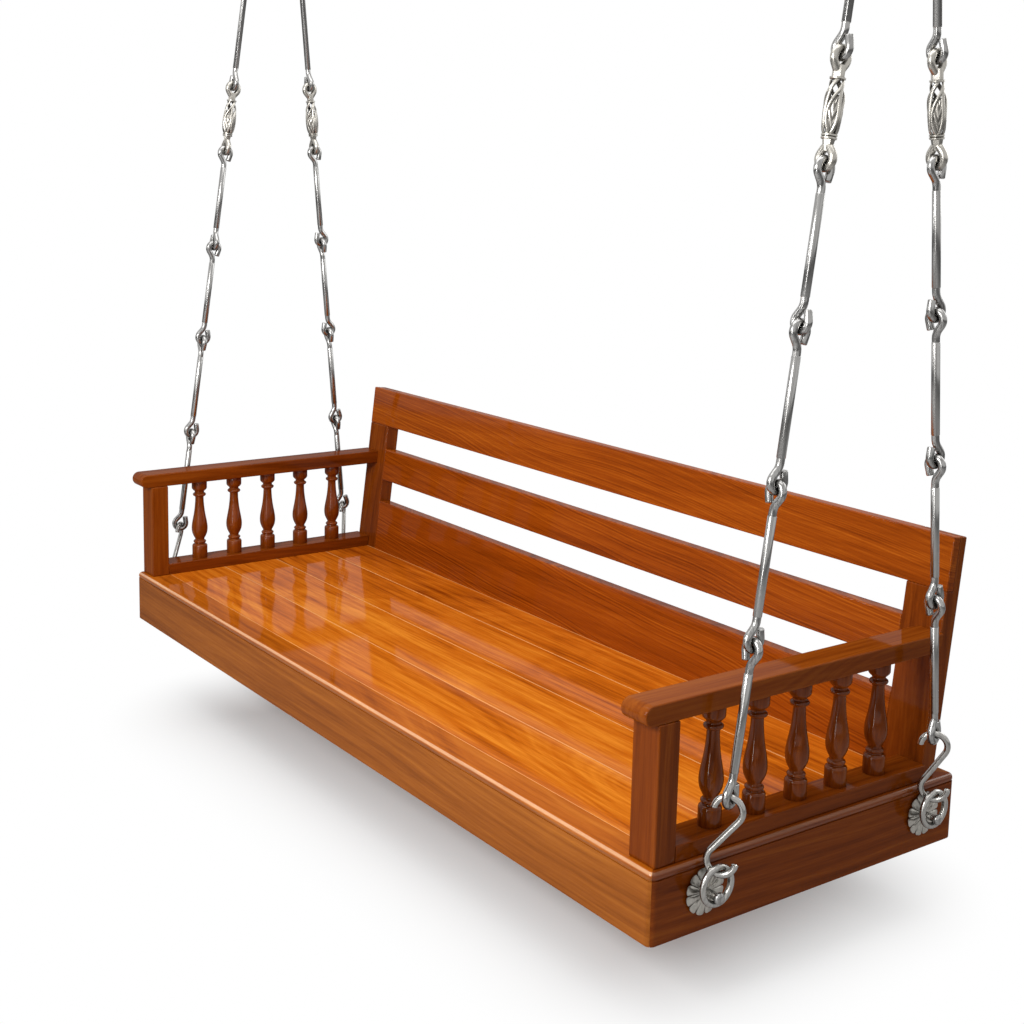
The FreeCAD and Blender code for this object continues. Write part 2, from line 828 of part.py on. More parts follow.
def s_hook(levels, sign):
    """Hook with two open curls; the upper takes the lowest rod and the lower the ring link."""
    radius = size("hook_curl_radius")
    middle = (levels["hook_foot"] + levels["hook_top"]) / 2
    apart = levels["hook_top"] - levels["hook_foot"] - 2 * radius
    slant = math.degrees(math.asin(2 * radius / apart))
    step = (90 + slant) / CURL_SHANK_STEPS
    centre = (0, apart / 2)
    count = CURL_TIP_STEPS + CURL_SHANK_STEPS
    curl = bend(centre, radius, 90 + CURL_TIP_STEPS * step, -step, count)
    tip_turn = math.radians(90 + CURL_TIP_STEPS * step)
    across, up = curl[0]
    tip = (across - size("hook_tip") * math.sin(tip_turn), up + size("hook_tip") * math.cos(tip_turn))
    upper = [tip] + curl
    lower = [(-across, -up) for across, up in reversed(upper)]
    pairs = [(across, up + middle) for across, up in upper + lower]
    turn = size("hook_turn")
    return bent_bar(in_plane(pairs, turn, sign), size("hook_wire"), plane_normal(turn, sign))


def cast_ring(centre, turn):
    """Closed eye of a cast link."""
    wire = size("rod_wire")
    pairs = bend((0, centre), rod_eye_radius(wire), -90, 360 / CAST_RING_STEPS, CAST_RING_STEPS)
    return bent_bar(in_plane(pairs, turn, 1), wire, plane_normal(turn, 1), closed=True)


def leaf(low, high, start_turn):
    """Twisted leaf that swells outwards between two collars."""
    root_radius = size("cast_neck_radius") - size("leaf_thickness") / 2
    half_thickness = size("leaf_thickness") / 2
    sections = []
    for station in range(LEAF_STATIONS):
        share = station / (LEAF_STATIONS - 1)
        swell = math.sin(math.pi * share)
        angle = math.radians(start_turn + share * size("leaf_turn"))
        radial = Vector(math.cos(angle), math.sin(angle), 0)
        sideways = Z_AXIS.cross(radial)
        radius = root_radius + (size("leaf_reach") - root_radius) * swell
        half_width = size("leaf_width") / 2 * (1 + swell) / 2
        centre = radial * radius + Z_AXIS * (low + (high - low) * share)
        sections.append([
            centre - radial * half_thickness - sideways * half_width,
            centre + radial * half_thickness - sideways * half_width,
            centre + radial * half_thickness + sideways * half_width,
            centre - radial * half_thickness + sideways * half_width,
        ])
    return skinned(sections, warped=True)


def cast_link(low, reach):
    """Cast link: an eye at each end, faceted necks, collars and a cage of twisted leaves."""
    high = low + reach
    sink = rod_eye_radius(size("rod_wire")) - size("rod_wire") / 4
    neck = size("cast_neck_length")
    collar = size("cast_collar_height")
    narrow = size("cast_neck_radius")
    wide = size("cast_collar_radius")
    low_collar = low + sink + neck
    high_collar = high - sink - neck
    cage_low = low_collar + 2 * collar
    cage_high = high_collar - collar
    foot = [
        (low + sink, size("cast_neck_waist")),
        (low_collar, narrow),
        (low_collar + collar / 2, wide),
        (low_collar + collar, narrow),
        (cage_low - collar / 2, wide),
        (cage_low, wide - collar / 2),
    ]
    head = [
        (cage_high, wide - collar / 2),
        (cage_high + collar / 2, wide),
        (high_collar, narrow),
        (high - sink, narrow),
    ]
    pieces = [cast_ring(high, 90), turned(foot, BAR_SIDES), turned(head, BAR_SIDES)]
    for number in range(int(size("leaf_count"))):
        turn = number * 360 / size("leaf_count")
        pieces.append(leaf(cage_low - collar / 2, cage_high + collar / 2, turn))
    return cast_ring(low, 0).fuse(pieces)


def chains():
    """Four chains from the studs up to the bars of the two delta links."""
    levels = chain_levels()
    bar_height = -(size("ceiling_hook_drop") + size("delta_height"))
    for name, sign, point in stud_points():
        front = name.startswith("front")
        foot = point + X_AXIS * sign * size("stud_standoff")
        bar_y = -size("delta_eye_offset") if front else size("delta_eye_offset")
        run = Vector(0, bar_y - foot.y, bar_height - foot.z)
        leaned = FreeCAD.Placement(foot, FreeCAD.Rotation(Z_AXIS, run))
        bar_eye = rod_eye_radius(size("delta_wire"))
        bar_eye_centre = run.Length + (size("delta_wire") + size("rod_wire")) / 2
        bar_eye_centre += size("crossing_clearance") - bar_eye
        solid_node(f"{name}_ring_link", ring_link(levels), leaned)
        solid_node(f"{name}_s_hook", s_hook(levels, sign), leaned)
        rods = []
        for low, turns in zip(levels["rods"], FRONT_EYE_TURNS if front else REAR_EYE_TURNS):
            high_radius = rod_eye_radius(size("rod_wire"))
            rods.append(rod_shape(low, low + levels["rod_reach"], high_radius, turns, sign))
        solid_node(f"{name}_rods", Part.makeCompound(rods), leaned)
        solid_node(f"{name}_cast_link", cast_link(levels["cast_low"], levels["cast_reach"]), leaned)
        upper = rod_shape(levels["upper_low"], bar_eye_centre, bar_eye, (0, 0), sign)
        solid_node(f"{name}_upper_rod", upper, leaned)


# Ceiling parts


def delta_link():
    """Triangular link drawn from the axis of the hook's run, with a round bar at its foot."""
    wire = size("delta_wire")
    apex = (size("ceiling_hook_wire") + wire) / 2 + size("link_clearance")
    corner = size("delta_corner")
    half = size("delta_half_base")
    height = size("delta_height")
    corner_centre = (half, corner - height)
    apart = math.hypot(*corner_centre)
    heading = math.degrees(math.atan2(corner_centre[1], corner_centre[0]))
    side_turn = heading + math.degrees(math.acos((apex - corner) / apart))
    corner_step = (side_turn + 90) / CORNER_STEPS
    apex_step = (180 - 2 * side_turn) / APEX_STEPS
    right = bend(corner_centre, corner, -90, corner_step, CORNER_STEPS)
    top = bend((0, 0), apex, side_turn, apex_step, APEX_STEPS)
    left = [(-across, up) for across, up in reversed(right)]
    pairs = [(half, -height)] + right + top + left + [(-half, -height)]
    loop = bent_bar(in_plane(pairs, 90, 1), wire, X_AXIS)
    bar = Part.makeCylinder(wire / 2, 2 * half, Vector(0, -half, -height), Y_AXIS)
    return loop.fuse(bar)


def ceiling_hook_shape(sign):
    """Forged hook: a shank stepped to one side, a level round run and an upturned tip."""
    wire = size("ceiling_hook_wire")
    radius = size("ceiling_hook_bend")
    half = size("ceiling_hook_run") / 2
    drop = -size("ceiling_hook_drop")
    side = half + radius
    top = -size("plate_thickness")
    step = 90 / BEND_STEPS
    shank = size("ceiling_hook_shank")
    inner = bend((-half, drop + radius), radius, 180, step, BEND_STEPS)
    outer = bend((half, drop + radius), radius, -90, step, BEND_STEPS)
    shoulder = [(0, top), (0, top - shank), (-side, top - shank - side)]
    pairs = shoulder + inner + [(-half, drop)]
    tip = [(half, drop)] + outer + [(side, drop + size("ceiling_hook_tip"))]
    level_run = Part.makeCylinder(wire / 2, 2 * half, Vector(-half, 0, drop), X_AXIS)
    normal = plane_normal(0, sign)
    shank_bar = bent_bar(in_plane(pairs, 0, sign), wire, normal)
    tip_bar = bent_bar(in_plane(tip, 0, sign), wire, normal)
    return shank_bar.fuse([level_run, tip_bar])


def ceiling_plate(label, x):
    """Square plate against the ceiling with four screw holes."""
    body = new_body(label)
    half = "plate_width / 2"
    corners = [(f"-{half}", f"-{half}"), (half, f"-{half}"), (half, half), (f"-{half}", half)]
    pad(body, outline(body, "plan", "XY_Plane", corners), "plate_thickness")
    hole = "plate_hole_spacing / 2"
    centres = [(f"-{hole}", f"-{hole}"), (hole, f"-{hole}"), (hole, hole), (f"-{hole}", hole)]
    holes = circles(body, "screw_holes", "XY_Plane", centres, "plate_hole_radius")
    pocket(body, holes, "2 * (plate_thickness + cut_overrun)", both_ways=True)
    place(body, x, "0", "-plate_thickness")
    node(label, body)


def ceiling_parts():
    """Plate, hook and delta link above each end of the seat."""
    for side, sign in (("left", -1), ("right", 1)):
        x = sign * (size("seat_length") / 2 + size("stud_standoff"))
        ceiling_plate(f"{side}_ceiling_plate", f"{sign} * (seat_length / 2 + stud_standoff)")
        above = FreeCAD.Placement(Vector(x, 0, 0), FreeCAD.Rotation())
        solid_node(f"{side}_ceiling_hook", ceiling_hook_shape(sign), above)
        hanging = FreeCAD.Placement(Vector(x, 0, -size("ceiling_hook_drop")), FreeCAD.Rotation())
        solid_node(f"{side}_delta_link", delta_link(), hanging)


# Checks and files


def check_document():
    """Stop on a failed object or an unsound piece."""
    doc.recompute()
    for item in doc.Objects:
        if "Invalid" in item.State or "Error" in item.State:
            raise RuntimeError(f"{item.Label} failed to recompute")
    for piece in nodes:
        if piece.Shape.isNull() or not piece.Shape.isValid() or not piece.Shape.Solids:
            raise RuntimeError(f"{piece.Label} is not a sound solid")


def write_parts():
    """Write each piece to its own file."""
    os.makedirs("parts", exist_ok=True)
    for piece in nodes:
        piece.Shape.exportStep(f"parts/{piece.Label}.step")
        print(piece.Label, len(piece.Shape.Solids), round(piece.Shape.Volume))


fill_sheet()
seat_frame()
seat_planks()
plank_bearers()
seat_back()
arms()
stud_sets()
chains()
ceiling_parts()
check_document()
write_parts()
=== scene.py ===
"""Looks of the jhoola swing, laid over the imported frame.

Sizes are metres in the part's own frame: X runs to the right end of the seat,
Y to its back and Z up, from zero on the ceiling midway between the two hooks.
"""
import logging
import math
from dataclasses import dataclass, replace
from enum import Enum
from typing import Callable, Dict, List, Optional, Sequence, Tuple, Union

import bmesh
import bpy
from bmesh.types import BMEdge, BMesh, BMFace, BMVert
from mathutils import Matrix, Vector


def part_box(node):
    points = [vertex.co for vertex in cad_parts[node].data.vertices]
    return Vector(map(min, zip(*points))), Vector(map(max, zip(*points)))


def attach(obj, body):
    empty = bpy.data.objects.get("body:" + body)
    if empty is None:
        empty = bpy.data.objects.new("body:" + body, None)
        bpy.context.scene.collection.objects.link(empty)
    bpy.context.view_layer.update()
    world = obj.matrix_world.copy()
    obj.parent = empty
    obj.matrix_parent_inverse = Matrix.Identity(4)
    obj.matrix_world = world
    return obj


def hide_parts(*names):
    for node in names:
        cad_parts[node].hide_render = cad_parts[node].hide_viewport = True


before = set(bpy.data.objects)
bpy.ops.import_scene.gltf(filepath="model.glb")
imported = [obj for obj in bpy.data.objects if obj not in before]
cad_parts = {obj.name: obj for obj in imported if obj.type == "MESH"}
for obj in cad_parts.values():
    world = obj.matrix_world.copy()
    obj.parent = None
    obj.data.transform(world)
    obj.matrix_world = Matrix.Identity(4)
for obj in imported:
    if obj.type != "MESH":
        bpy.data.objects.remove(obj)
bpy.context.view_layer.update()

log = logging.getLogger("jhoola")

Pair = Tuple[float, float]
Triple = Tuple[float, float, float]
Corner = Tuple[Pair, float]
Route = Sequence[Tuple[Vector, float]]
Setting = Union[float, Sequence[float], "Level"]

# Faces narrower than FLAT_BREADTH are shaded round, but edges bent beyond CREASE stay sharp
FLAT_BREADTH = 0.004
CREASE = math.radians(40.0)
# Bend, in radians, from which an edge is eased
SHARP = 0.3
# Distances below which places count as level with each other, and as one
NEAR = 1e-5
SAME = 1e-6
ZERO = (0.0, 0.0, 0.0)
WHITE = (1.0, 1.0, 1.0, 1.0)


class Body(Enum):
    """Bodies of the frame that the pieces ride on."""

    CEILING = "ceiling_fixings"
    HANGERS = "hangers"
    CHAINS_LEFT = "chains_left"
    CHAINS_RIGHT = "chains_right"
    SEAT = "seat"


class Side(Enum):
    """Ends of the swing, with the sign of X at each."""

    LEFT = -1
    RIGHT = 1

    @property
    def label(self) -> str:
        """Word for this side in the names of nodes."""
        return self.name.lower()

    @property
    def chain_body(self) -> Body:
        """Body of the chains at this side."""
        return Body.CHAINS_LEFT if self is Side.LEFT else Body.CHAINS_RIGHT


class Grain(Enum):
    """Ways the grain of a board can run, as turns that lay it along X."""

    ALONG_X = (0.0, 0.0, 0.0)
    ALONG_Y = (0.0, 0.0, -math.pi / 2)
    ALONG_Z = (0.0, math.pi / 2, 0.0)


# Shader maths


class Level:
    """A shader value on which Python's operators add Math nodes."""

    def __init__(self, bench: "Bench", socket: Optional[bpy.types.NodeSocket]) -> None:
        """Wrap an output socket of a bench."""
        self.bench = bench
        self.socket = socket

    def maths(self, operation: str, *others: Setting) -> "Level":
        """Math node whose sockets take this value and then the others."""
        sockets = dict(enumerate((self, *others)))
        return self.bench.add("ShaderNodeMath", sockets, operation=operation)

    def __add__(self, other: Setting) -> "Level":
        """Sum."""
        return self.maths("ADD", other)

    __radd__ = __add__

    def __sub__(self, other: Setting) -> "Level":
        """Difference."""
        return self.maths("SUBTRACT", other)

    def __rsub__(self, other: float) -> "Level":
        """Difference from a number."""
        return (self * -1.0) + other

    def __mul__(self, other: Setting) -> "Level":
        """Product."""
        return self.maths("MULTIPLY", other)

    __rmul__ = __mul__

    def __pow__(self, other: float) -> "Level":
        """Power."""
        return self.maths("POWER", other)

    def between(self, low: float, high: float) -> "Level":
        """Smooth step from 0 at one value to 1 at another."""
        sockets = {"Value": self, "From Min": low, "From Max": high}
        return self.bench.add("ShaderNodeMapRange", sockets, interpolation_type="SMOOTHSTEP")


class Bench:
    """Node tree of one material or world, with one method for every kind of node."""

    def __init__(self, owner: Union[bpy.types.Material, bpy.types.World]) -> None:
        """Clear the owner's node tree and keep it for new nodes."""
        owner.use_nodes = True
        self.tree = owner.node_tree
        self.tree.nodes.clear()

    def add(
        self,
        kind: str,
        sockets: Optional[Dict[Union[int, str], Setting]] = None,
        output: Union[int, str] = 0,
        **settings: object,
    ) -> Level:
        """Add a node.

        Args:
            kind: the node's type.
            sockets: values or links of its input sockets, by name or number.
            output: the output socket to hand back.
            settings: its own properties, set first; "stops" fills a colour ramp.

        Returns:
            The chosen output, without a socket for a node that ends the tree.
        """
        node = self.tree.nodes.new(kind)
        for key, value in settings.items():
            if key == "stops":
                self.fill_ramp(node.color_ramp, value)
            else:
                setattr(node, key, value)
        for key, value in (sockets or {}).items():
            if isinstance(value, Level):
                self.tree.links.new(value.socket, node.inputs[key])
            else:
                node.inputs[key].default_value = value
        return Level(self, node.outputs[output] if len(node.outputs) else None)

    @staticmethod
    def fill_ramp(ramp: bpy.types.ColorRamp, stops: Sequence[Tuple[float, Triple]]) -> None:
        """Write the stops of a colour ramp."""
        while len(ramp.elements) < len(stops):
            ramp.elements.new(0.5)
        for element, (place, colour) in zip(ramp.elements, stops):
            element.position = place
            element.color = (*colour, 1.0)

    def mix(self, share: Setting, first: Setting, second: Setting) -> Level:
        """Mix two colours."""
        return self.add("ShaderNodeMix", {0: share, 6: first, 7: second}, 2, data_type="RGBA")

    def noise(self, place: Level, scale: float, detail: float, roughness: float) -> Level:
        """Cloudy noise over a place."""
        sockets = {"Vector": place, "Scale": scale, "Detail": detail, "Roughness": roughness}
        return self.add("ShaderNodeTexNoise", sockets)

    def stretched(
        self, parts: Sequence[Level], scales: Triple, detail: float = 2.0, roughness: float = 0.5
    ) -> Level:
        """Noise over a place whose three parts are scaled one by one."""
        sockets = {index: part * scale for index, (part, scale) in enumerate(zip(parts, scales))}
        place = self.add("ShaderNodeCombineXYZ", sockets)
        return self.noise(place, 1.0, detail, roughness)

    def own_place(self, turn: Triple = ZERO, shift: Triple = ZERO) -> Level:
        """Object coordinates, turned and shifted."""
        place = self.add("ShaderNodeTexCoord", output="Object")
        sockets = {"Vector": place, "Rotation": turn, "Location": shift}
        return self.add("ShaderNodeMapping", sockets)

    def parts(self, place: Level) -> List[Level]:
        """The three parts of a place."""
        return [self.add("ShaderNodeSeparateXYZ", {0: place}, index) for index in range(3)]

    def bump(self, strength: float, distance: float, height: Level) -> Level:
        """Normal tilted by a height."""
        sockets = {"Strength": strength, "Distance": distance, "Height": height}
        return self.add("ShaderNodeBump", sockets)

    def surface(self, **sockets: Setting) -> None:
        """End the tree in a Principled shader; underscores in names stand for spaces."""
        named = {key.replace("_", " "): value for key, value in sockets.items()}
        shader = self.add("ShaderNodeBsdfPrincipled", named)
        self.add("ShaderNodeOutputMaterial", {"Surface": shader})


# Pieces


def add_object(name: str, data: bpy.types.ID) -> bpy.types.Object:
    """Object around some data, linked to the scene."""
    made = bpy.data.objects.new(name, data)
    bpy.context.collection.objects.link(made)
    return made


def add_mesh(name: str, mesh: BMesh, material: bpy.types.Material) -> bpy.types.Object:
    """Object around a mesh, which is used up."""
    data = bpy.data.meshes.new(name)
    mesh.to_mesh(data)
    mesh.free()
    data.materials.append(material)
    return add_object(name, data)


def make_piece(
    node: str, word: str, mesh: BMesh, body: Body, material: bpy.types.Material
) -> None:
    """Turn a finished mesh into the piece that stands for a node.

    Args:
        node: node of the frame, whose name begins the piece's name.
        word: word that ends the piece's name.
        mesh: the finished mesh, which is used up.
        body: body that the piece moves with.
        material: finish of the piece.
    """
    bmesh.ops.recalc_face_normals(mesh, faces=mesh.faces[:])
    for face in mesh.faces:
        face.smooth = face.calc_area() < FLAT_BREADTH * face.calc_perimeter()
    for edge in mesh.edges:
        edge.smooth = len(edge.link_faces) != 2 or edge.calc_face_angle(0.0) <= CREASE
    piece = add_mesh(f"{node}_{word}", mesh, material)
    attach(piece, body.value)
    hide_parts(node)
    log.info("%s: %d faces on %s", piece.name, len(piece.data.polygons), body.value)


# Finishes


@dataclass(frozen=True)
class Accents:
    """Extras on a board: a glossy bead with a painted highlight along its crest, and painted
    highlight lines along seams.

    Each pair of heights is measured from the bead's top; a finish fades in between them.
    """

    bead_top: Optional[float] = None
    crown: Optional["Teak"] = None
    # Painted highlight along the bead's crest: its share here, and below its pale colour and
    # heights
    painted_highlight_share: float = 0.0
    seams: Sequence[float] = ()
    painted_highlight_tone: Triple = (0.95, 0.62, 0.36)
    # Painted highlight lines along the seams: their pale colour, share and reach
    seam_highlight_tone: Triple = (0.80, 0.42, 0.15)
    seam_highlight_share: float = 0.6
    seam_highlight_reach: Pair = (0.0007, 0.0020)
    bead_rise: Pair = (-0.012, -0.010)
    crown_rise: Pair = (-0.009, -0.003)
    painted_highlight_rise: Pair = (-0.0050, -0.0024)
    level_rise: Pair = (-0.0009, -0.0003)
    bead_gloss: float = 0.6
    level_gloss: float = 0.12


@dataclass(frozen=True)
class Teak:
    """Lacquered teak with faint growth rings cut at a slant, streaks and fine pores."""

    slot: str
    dark: Triple
    middle: Triple
    light: Triple
    ring_count: float = 130.0
    slant: float = 0.03
    pith_depth: float = 0.12
    ring_share: float = 0.30
    streak_share: float = 0.48
    specular: float = 0.0
    coat: float = 0.22
    coat_roughness: float = 0.05
    band_share: float = 0.42
    drift_share: float = 0.25
    drift_sideways: float = 0.16
    drift_inwards: float = 0.07
    swirl_sideways: float = 0.016
    heart_spread: float = 0.08
    heart_step: float = 0.37
    board_shift: float = 0.73
    tones: Triple = (0.28, 0.50, 0.74)
    pore_levels: Pair = (0.60, 0.78)
    pore_share: float = 0.35
    roughness: float = 0.40
    roughness_fall: float = 0.1
    drift_scales: Triple = (1.0, 2.4, 2.4)
    swirl_scales: Triple = (3.5, 14.0, 14.0)
    band_scales: Triple = (1.4, 24.0, 24.0)
    streak_scales: Triple = (4.5, 110.0, 110.0)
    pore_scales: Triple = (30.0, 900.0, 900.0)

    def tone(self, bench: Bench, parts: Sequence[Level], board: int) -> Level:
        """Lightness of the wood from 0 to 1.

        Args:
            bench: the material's bench.
            parts: place along the grain, across it and in depth.
            board: number of the board.

        Returns:
            The tone, near 0.5 on average.
        """
        along, across, depth = parts
        heart = self.heart_spread * ((board * self.heart_step) % 1.0 - 0.5)
        drift = bench.stretched(parts, self.drift_scales) - 0.5
        swirl = bench.stretched(parts, self.swirl_scales) - 0.5
        sideways = across + drift * self.drift_sideways + swirl * self.swirl_sideways + heart
        inwards = depth + drift * self.drift_inwards + along * self.slant + self.pith_depth
        radius = (sideways * sideways + inwards * inwards) ** 0.5
        sockets = {"W": radius * self.ring_count, "Scale": 1.0, "Detail": 3.0, "Roughness": 0.65}
        rings = bench.add("ShaderNodeTexNoise", sockets, noise_dimensions="1D")
        bands = bench.stretched(parts, self.band_scales, 3.0, 0.6)
        streaks = bench.stretched(parts, self.streak_scales, 6.0, 0.72)
        tone = (rings - 0.5) * self.ring_share + (bands - 0.5) * self.band_share
        tone = tone + (streaks - 0.5) * self.streak_share + drift * self.drift_share
        return tone + (0.5 + heart)

    def paint(self, bench: Bench, tone: Level) -> Level:
        """Colour of the wood at a tone."""
        stops = list(zip(self.tones, (self.dark, self.middle, self.light)))
        return bench.add("ShaderNodeValToRGB", {"Fac": tone}, stops=stops)

    def material(
        self, name: str, grain: Grain, board: int, accents: Optional[Accents] = None
    ) -> bpy.types.Material:
        """Material of one board.

        Args:
            name: name of the material.
            grain: the way the grain runs.
            board: number of the board, which picks its own stretch of the wood.
            accents: extras on the board.

        Returns:
            The finished material.
        """
        made = bpy.data.materials.new(name)
        bench = Bench(made)
        extras = accents or Accents()
        parts = bench.parts(bench.own_place(grain.value, (self.board_shift * board, 0.0, 0.0)))
        still = bench.parts(bench.own_place()) if accents else []
        tone = self.tone(bench, parts, board)
        colour = self.paint(bench, tone)
        gloss: Setting = self.coat
        if extras.bead_top is not None:
            rise = still[2] - extras.bead_top
            if extras.crown:
                crown = extras.crown.paint(bench, tone)
                colour = bench.mix(rise.between(*extras.crown_rise), colour, crown)
            bead = rise.between(*extras.bead_rise)
            level = rise.between(*extras.level_rise)
            gloss = bead * (extras.bead_gloss - self.coat) + self.coat
            gloss = gloss + level * (extras.level_gloss - extras.bead_gloss)
            # Painted highlight: a pale line along the bead's crest, stronger where the wood is
            # lighter
            painted_highlight = rise.between(*extras.painted_highlight_rise) * (1.0 - level) * (tone + 0.15)
            colour = bench.mix(painted_highlight * extras.painted_highlight_share, colour, (*extras.painted_highlight_tone, 1.0))
        pores = bench.stretched(parts, self.pore_scales)
        pitted = pores.between(*self.pore_levels) * self.pore_share
        colour = bench.mix(pitted, colour, (*self.dark, 1.0))
        # Painted highlight: pale lines along the seams between boards
        for seam in extras.seams:
            away = (still[1] - seam).maths("ABSOLUTE")
            share = (1.0 - away.between(*extras.seam_highlight_reach)) * extras.seam_highlight_share
            colour = bench.mix(share, colour, (*extras.seam_highlight_tone, 1.0))
        bench.surface(
            Base_Color=colour,
            Roughness=self.roughness - tone * self.roughness_fall,
            Specular_IOR_Level=self.specular,
            Coat_Weight=gloss,
            Coat_Roughness=self.coat_roughness,
            Normal=bench.bump(0.10, 0.0003, tone * 2.0 + pores),
        )
        return made

    def dress(
        self, node: str, word: str, mesh: BMesh, grain: Grain, board: int,
        accents: Optional[Accents] = None,
    ) -> None:
        """Make a mesh the piece of the seat that stands for a node, in this wood."""
        finish = self.material(f"{node}_teak", grain, board, accents)
        make_piece(node, word, mesh, Body.SEAT, finish)


@dataclass(frozen=True)
class PlatedSteel:
    """Plated steel with dark drawn streaks along it, and tarnish with painted shade in its
    recesses.
    """

    slot: str
    bright: Triple
    dull: Triple
    roughness: float
    streak_share: float = 0.8
    cloud_share: float = 0.3
    streak_scales: Triple = (330.0, 330.0, 5.0)
    mark_scales: Triple = (900.0, 900.0, 60.0)
    cloud_scale: float = 90.0
    streak_levels: Pair = (0.46, 0.62)
    cloud_levels: Pair = (0.45, 0.70)
    dark_roughness: float = 0.15
    mark_roughness: float = 0.1

    def material(self, name: str, turn: Triple = ZERO) -> bpy.types.Material:
        """Material of a metal piece.

        Args:
            name: name of the material.
            turn: turn that lays the piece's own length along Z.

        Returns:
            The finished material.
        """
        made = bpy.data.materials.new(name)
        bench = Bench(made)
        place = bench.own_place(turn)
        parts = bench.parts(place)
        streaks = bench.stretched(parts, self.streak_scales, 2.0, 0.6)
        marks = bench.stretched(parts, self.mark_scales, 1.0)
        clouds = bench.noise(place, self.cloud_scale, 3.0, 0.6)
        # Tarnish with painted shade, darkening the recesses of cast pieces
        tarnish_and_shade = bench.add("ShaderNodeAttribute", output="Fac", attribute_name="tarnish_and_shade")
        dark = streaks.between(*self.streak_levels) * self.streak_share
        cloudy = clouds.between(*self.cloud_levels) * self.cloud_share
        dark = dark.maths("MAXIMUM", cloudy).maths("MAXIMUM", tarnish_and_shade)
        rough = self.roughness + dark * self.dark_roughness
        bench.surface(
            Base_Color=bench.mix(dark, (*self.bright, 1.0), (*self.dull, 1.0)),
            Metallic=1.0,
            Roughness=rough + (marks - 0.5) * self.mark_roughness,
            Normal=bench.bump(0.02, 0.0002, marks),
        )
        return made

    def dress(self, node: str, word: str, mesh: BMesh, body: Body, turn: Triple = ZERO) -> None:
        """Make a mesh the piece that stands for a node, in this metal."""
        make_piece(node, word, mesh, body, self.material(f"{node}_metal", turn))


FRAME_TEAK = Teak("frame_teak", (0.165, 0.038, 0.003), (0.31, 0.086, 0.009), (0.46, 0.145, 0.018))
RAIL_TEAK = Teak(
    "frame_teak", (0.15, 0.024, 0.001), (0.32, 0.062, 0.003), (0.50, 0.125, 0.008),
    ring_count=300.0, slant=0.10, pith_depth=0.05, ring_share=0.55, streak_share=0.45,
)
ARM_TEAK = Teak(
    "frame_teak", (0.09, 0.015, 0.001), (0.21, 0.042, 0.003), (0.33, 0.085, 0.008), coat=0.17
)
TURNED_TEAK = replace(ARM_TEAK, coat=0.42, coat_roughness=0.08)
SEAT_TEAK = Teak(
    "seat_teak", (0.26, 0.045, 0.002), (0.57, 0.132, 0.006), (0.80, 0.26, 0.022),
    slant=0.015, ring_share=0.34, streak_share=0.80, coat_roughness=0.07,
)
DECK_EDGE_TEAK = replace(
    SEAT_TEAK, dark=(0.21, 0.040, 0.002), middle=(0.46, 0.110, 0.006), light=(0.66, 0.21, 0.020)
)
BEARER_WOOD = Teak(
    "bearer_wood", (0.12, 0.045, 0.015), (0.24, 0.10, 0.035), (0.36, 0.17, 0.07),
    specular=0.2, coat=0.0,
)
ROD_STEEL = PlatedSteel("rod_steel", (0.36, 0.355, 0.345), (0.09, 0.085, 0.08), 0.20, 0.5, 0.12)
HOOK_STEEL = replace(ROD_STEEL, bright=(0.38, 0.37, 0.35), streak_share=0.25)
CAST_METAL = PlatedSteel("cast_metal", (0.44, 0.42, 0.38), (0.05, 0.045, 0.04), 0.28, 0.2, 0.25)
FIXING_STEEL = PlatedSteel("fixing_steel", (0.42, 0.43, 0.44), (0.14, 0.14, 0.14), 0.34, 0.4)
FORGED_STEEL = PlatedSteel(
    "forged_steel", (0.42, 0.41, 0.40), (0.10, 0.095, 0.09), 0.30, 0.6, 0.5
)


# Shapes


def only(kind: type, items: Sequence[object]) -> list:
    """Elements of one kind out of mixed geometry."""
    return [item for item in items if isinstance(item, kind)]


def middle_of(edge: BMEdge) -> Vector:
    """Middle of an edge."""
    return (edge.verts[0].co + edge.verts[1].co) / 2


def is_sharp(edge: BMEdge) -> bool:
    """Whether the faces beside an edge meet at a clear angle."""
    return edge.calc_face_angle(0.0) > SHARP


def turn_about(axis: str, degrees: float) -> Matrix:
    """Turn about an axis."""
    return Matrix.Rotation(math.radians(degrees), 4, axis)


def facing(place: Sequence[float], way: Vector, axis: str = "Z") -> Matrix:
    """Place with one of its axes along a way."""
    return Matrix.Translation(place) @ way.to_track_quat(axis, "Y").to_matrix().to_4x4()


def block(low: Sequence[float], high: Sequence[float]) -> BMesh:
    """Plain block between two corners."""
    mesh = bmesh.new()
    middle = (Vector(low) + Vector(high)) / 2
    size = Matrix.Diagonal((*(Vector(high) - Vector(low)), 1.0))
    bmesh.ops.create_cube(mesh, size=1.0, matrix=Matrix.Translation(middle) @ size)
    return mesh


def push_face(mesh: BMesh, way: Sequence[float]) -> BMFace:
    """Push the one face of a mesh out into a solid, and hand back its moved face."""
    grown = bmesh.ops.extrude_face_region(mesh, geom=mesh.faces[:])["geom"]
    bmesh.ops.translate(mesh, vec=way, verts=only(BMVert, grown))
    bmesh.ops.recalc_face_normals(mesh, faces=mesh.faces[:])
    return only(BMFace, grown)[0]


def step_in(mesh: BMesh, face: BMFace, steps: Sequence[Pair]) -> None:
    """Inset a face by one (inward, outward) step after the other."""
    for inward, rise in steps:
        bmesh.ops.inset_individual(
            mesh, faces=[face], thickness=inward, depth=rise, use_even_offset=True
        )


def prism(corners: Sequence[Vector], way: Sequence[float]) -> BMesh:
    """Solid from a flat outline pushed along a way."""
    mesh = bmesh.new()
    mesh.faces.new([mesh.verts.new(corner) for corner in corners])
    push_face(mesh, way)
    return mesh


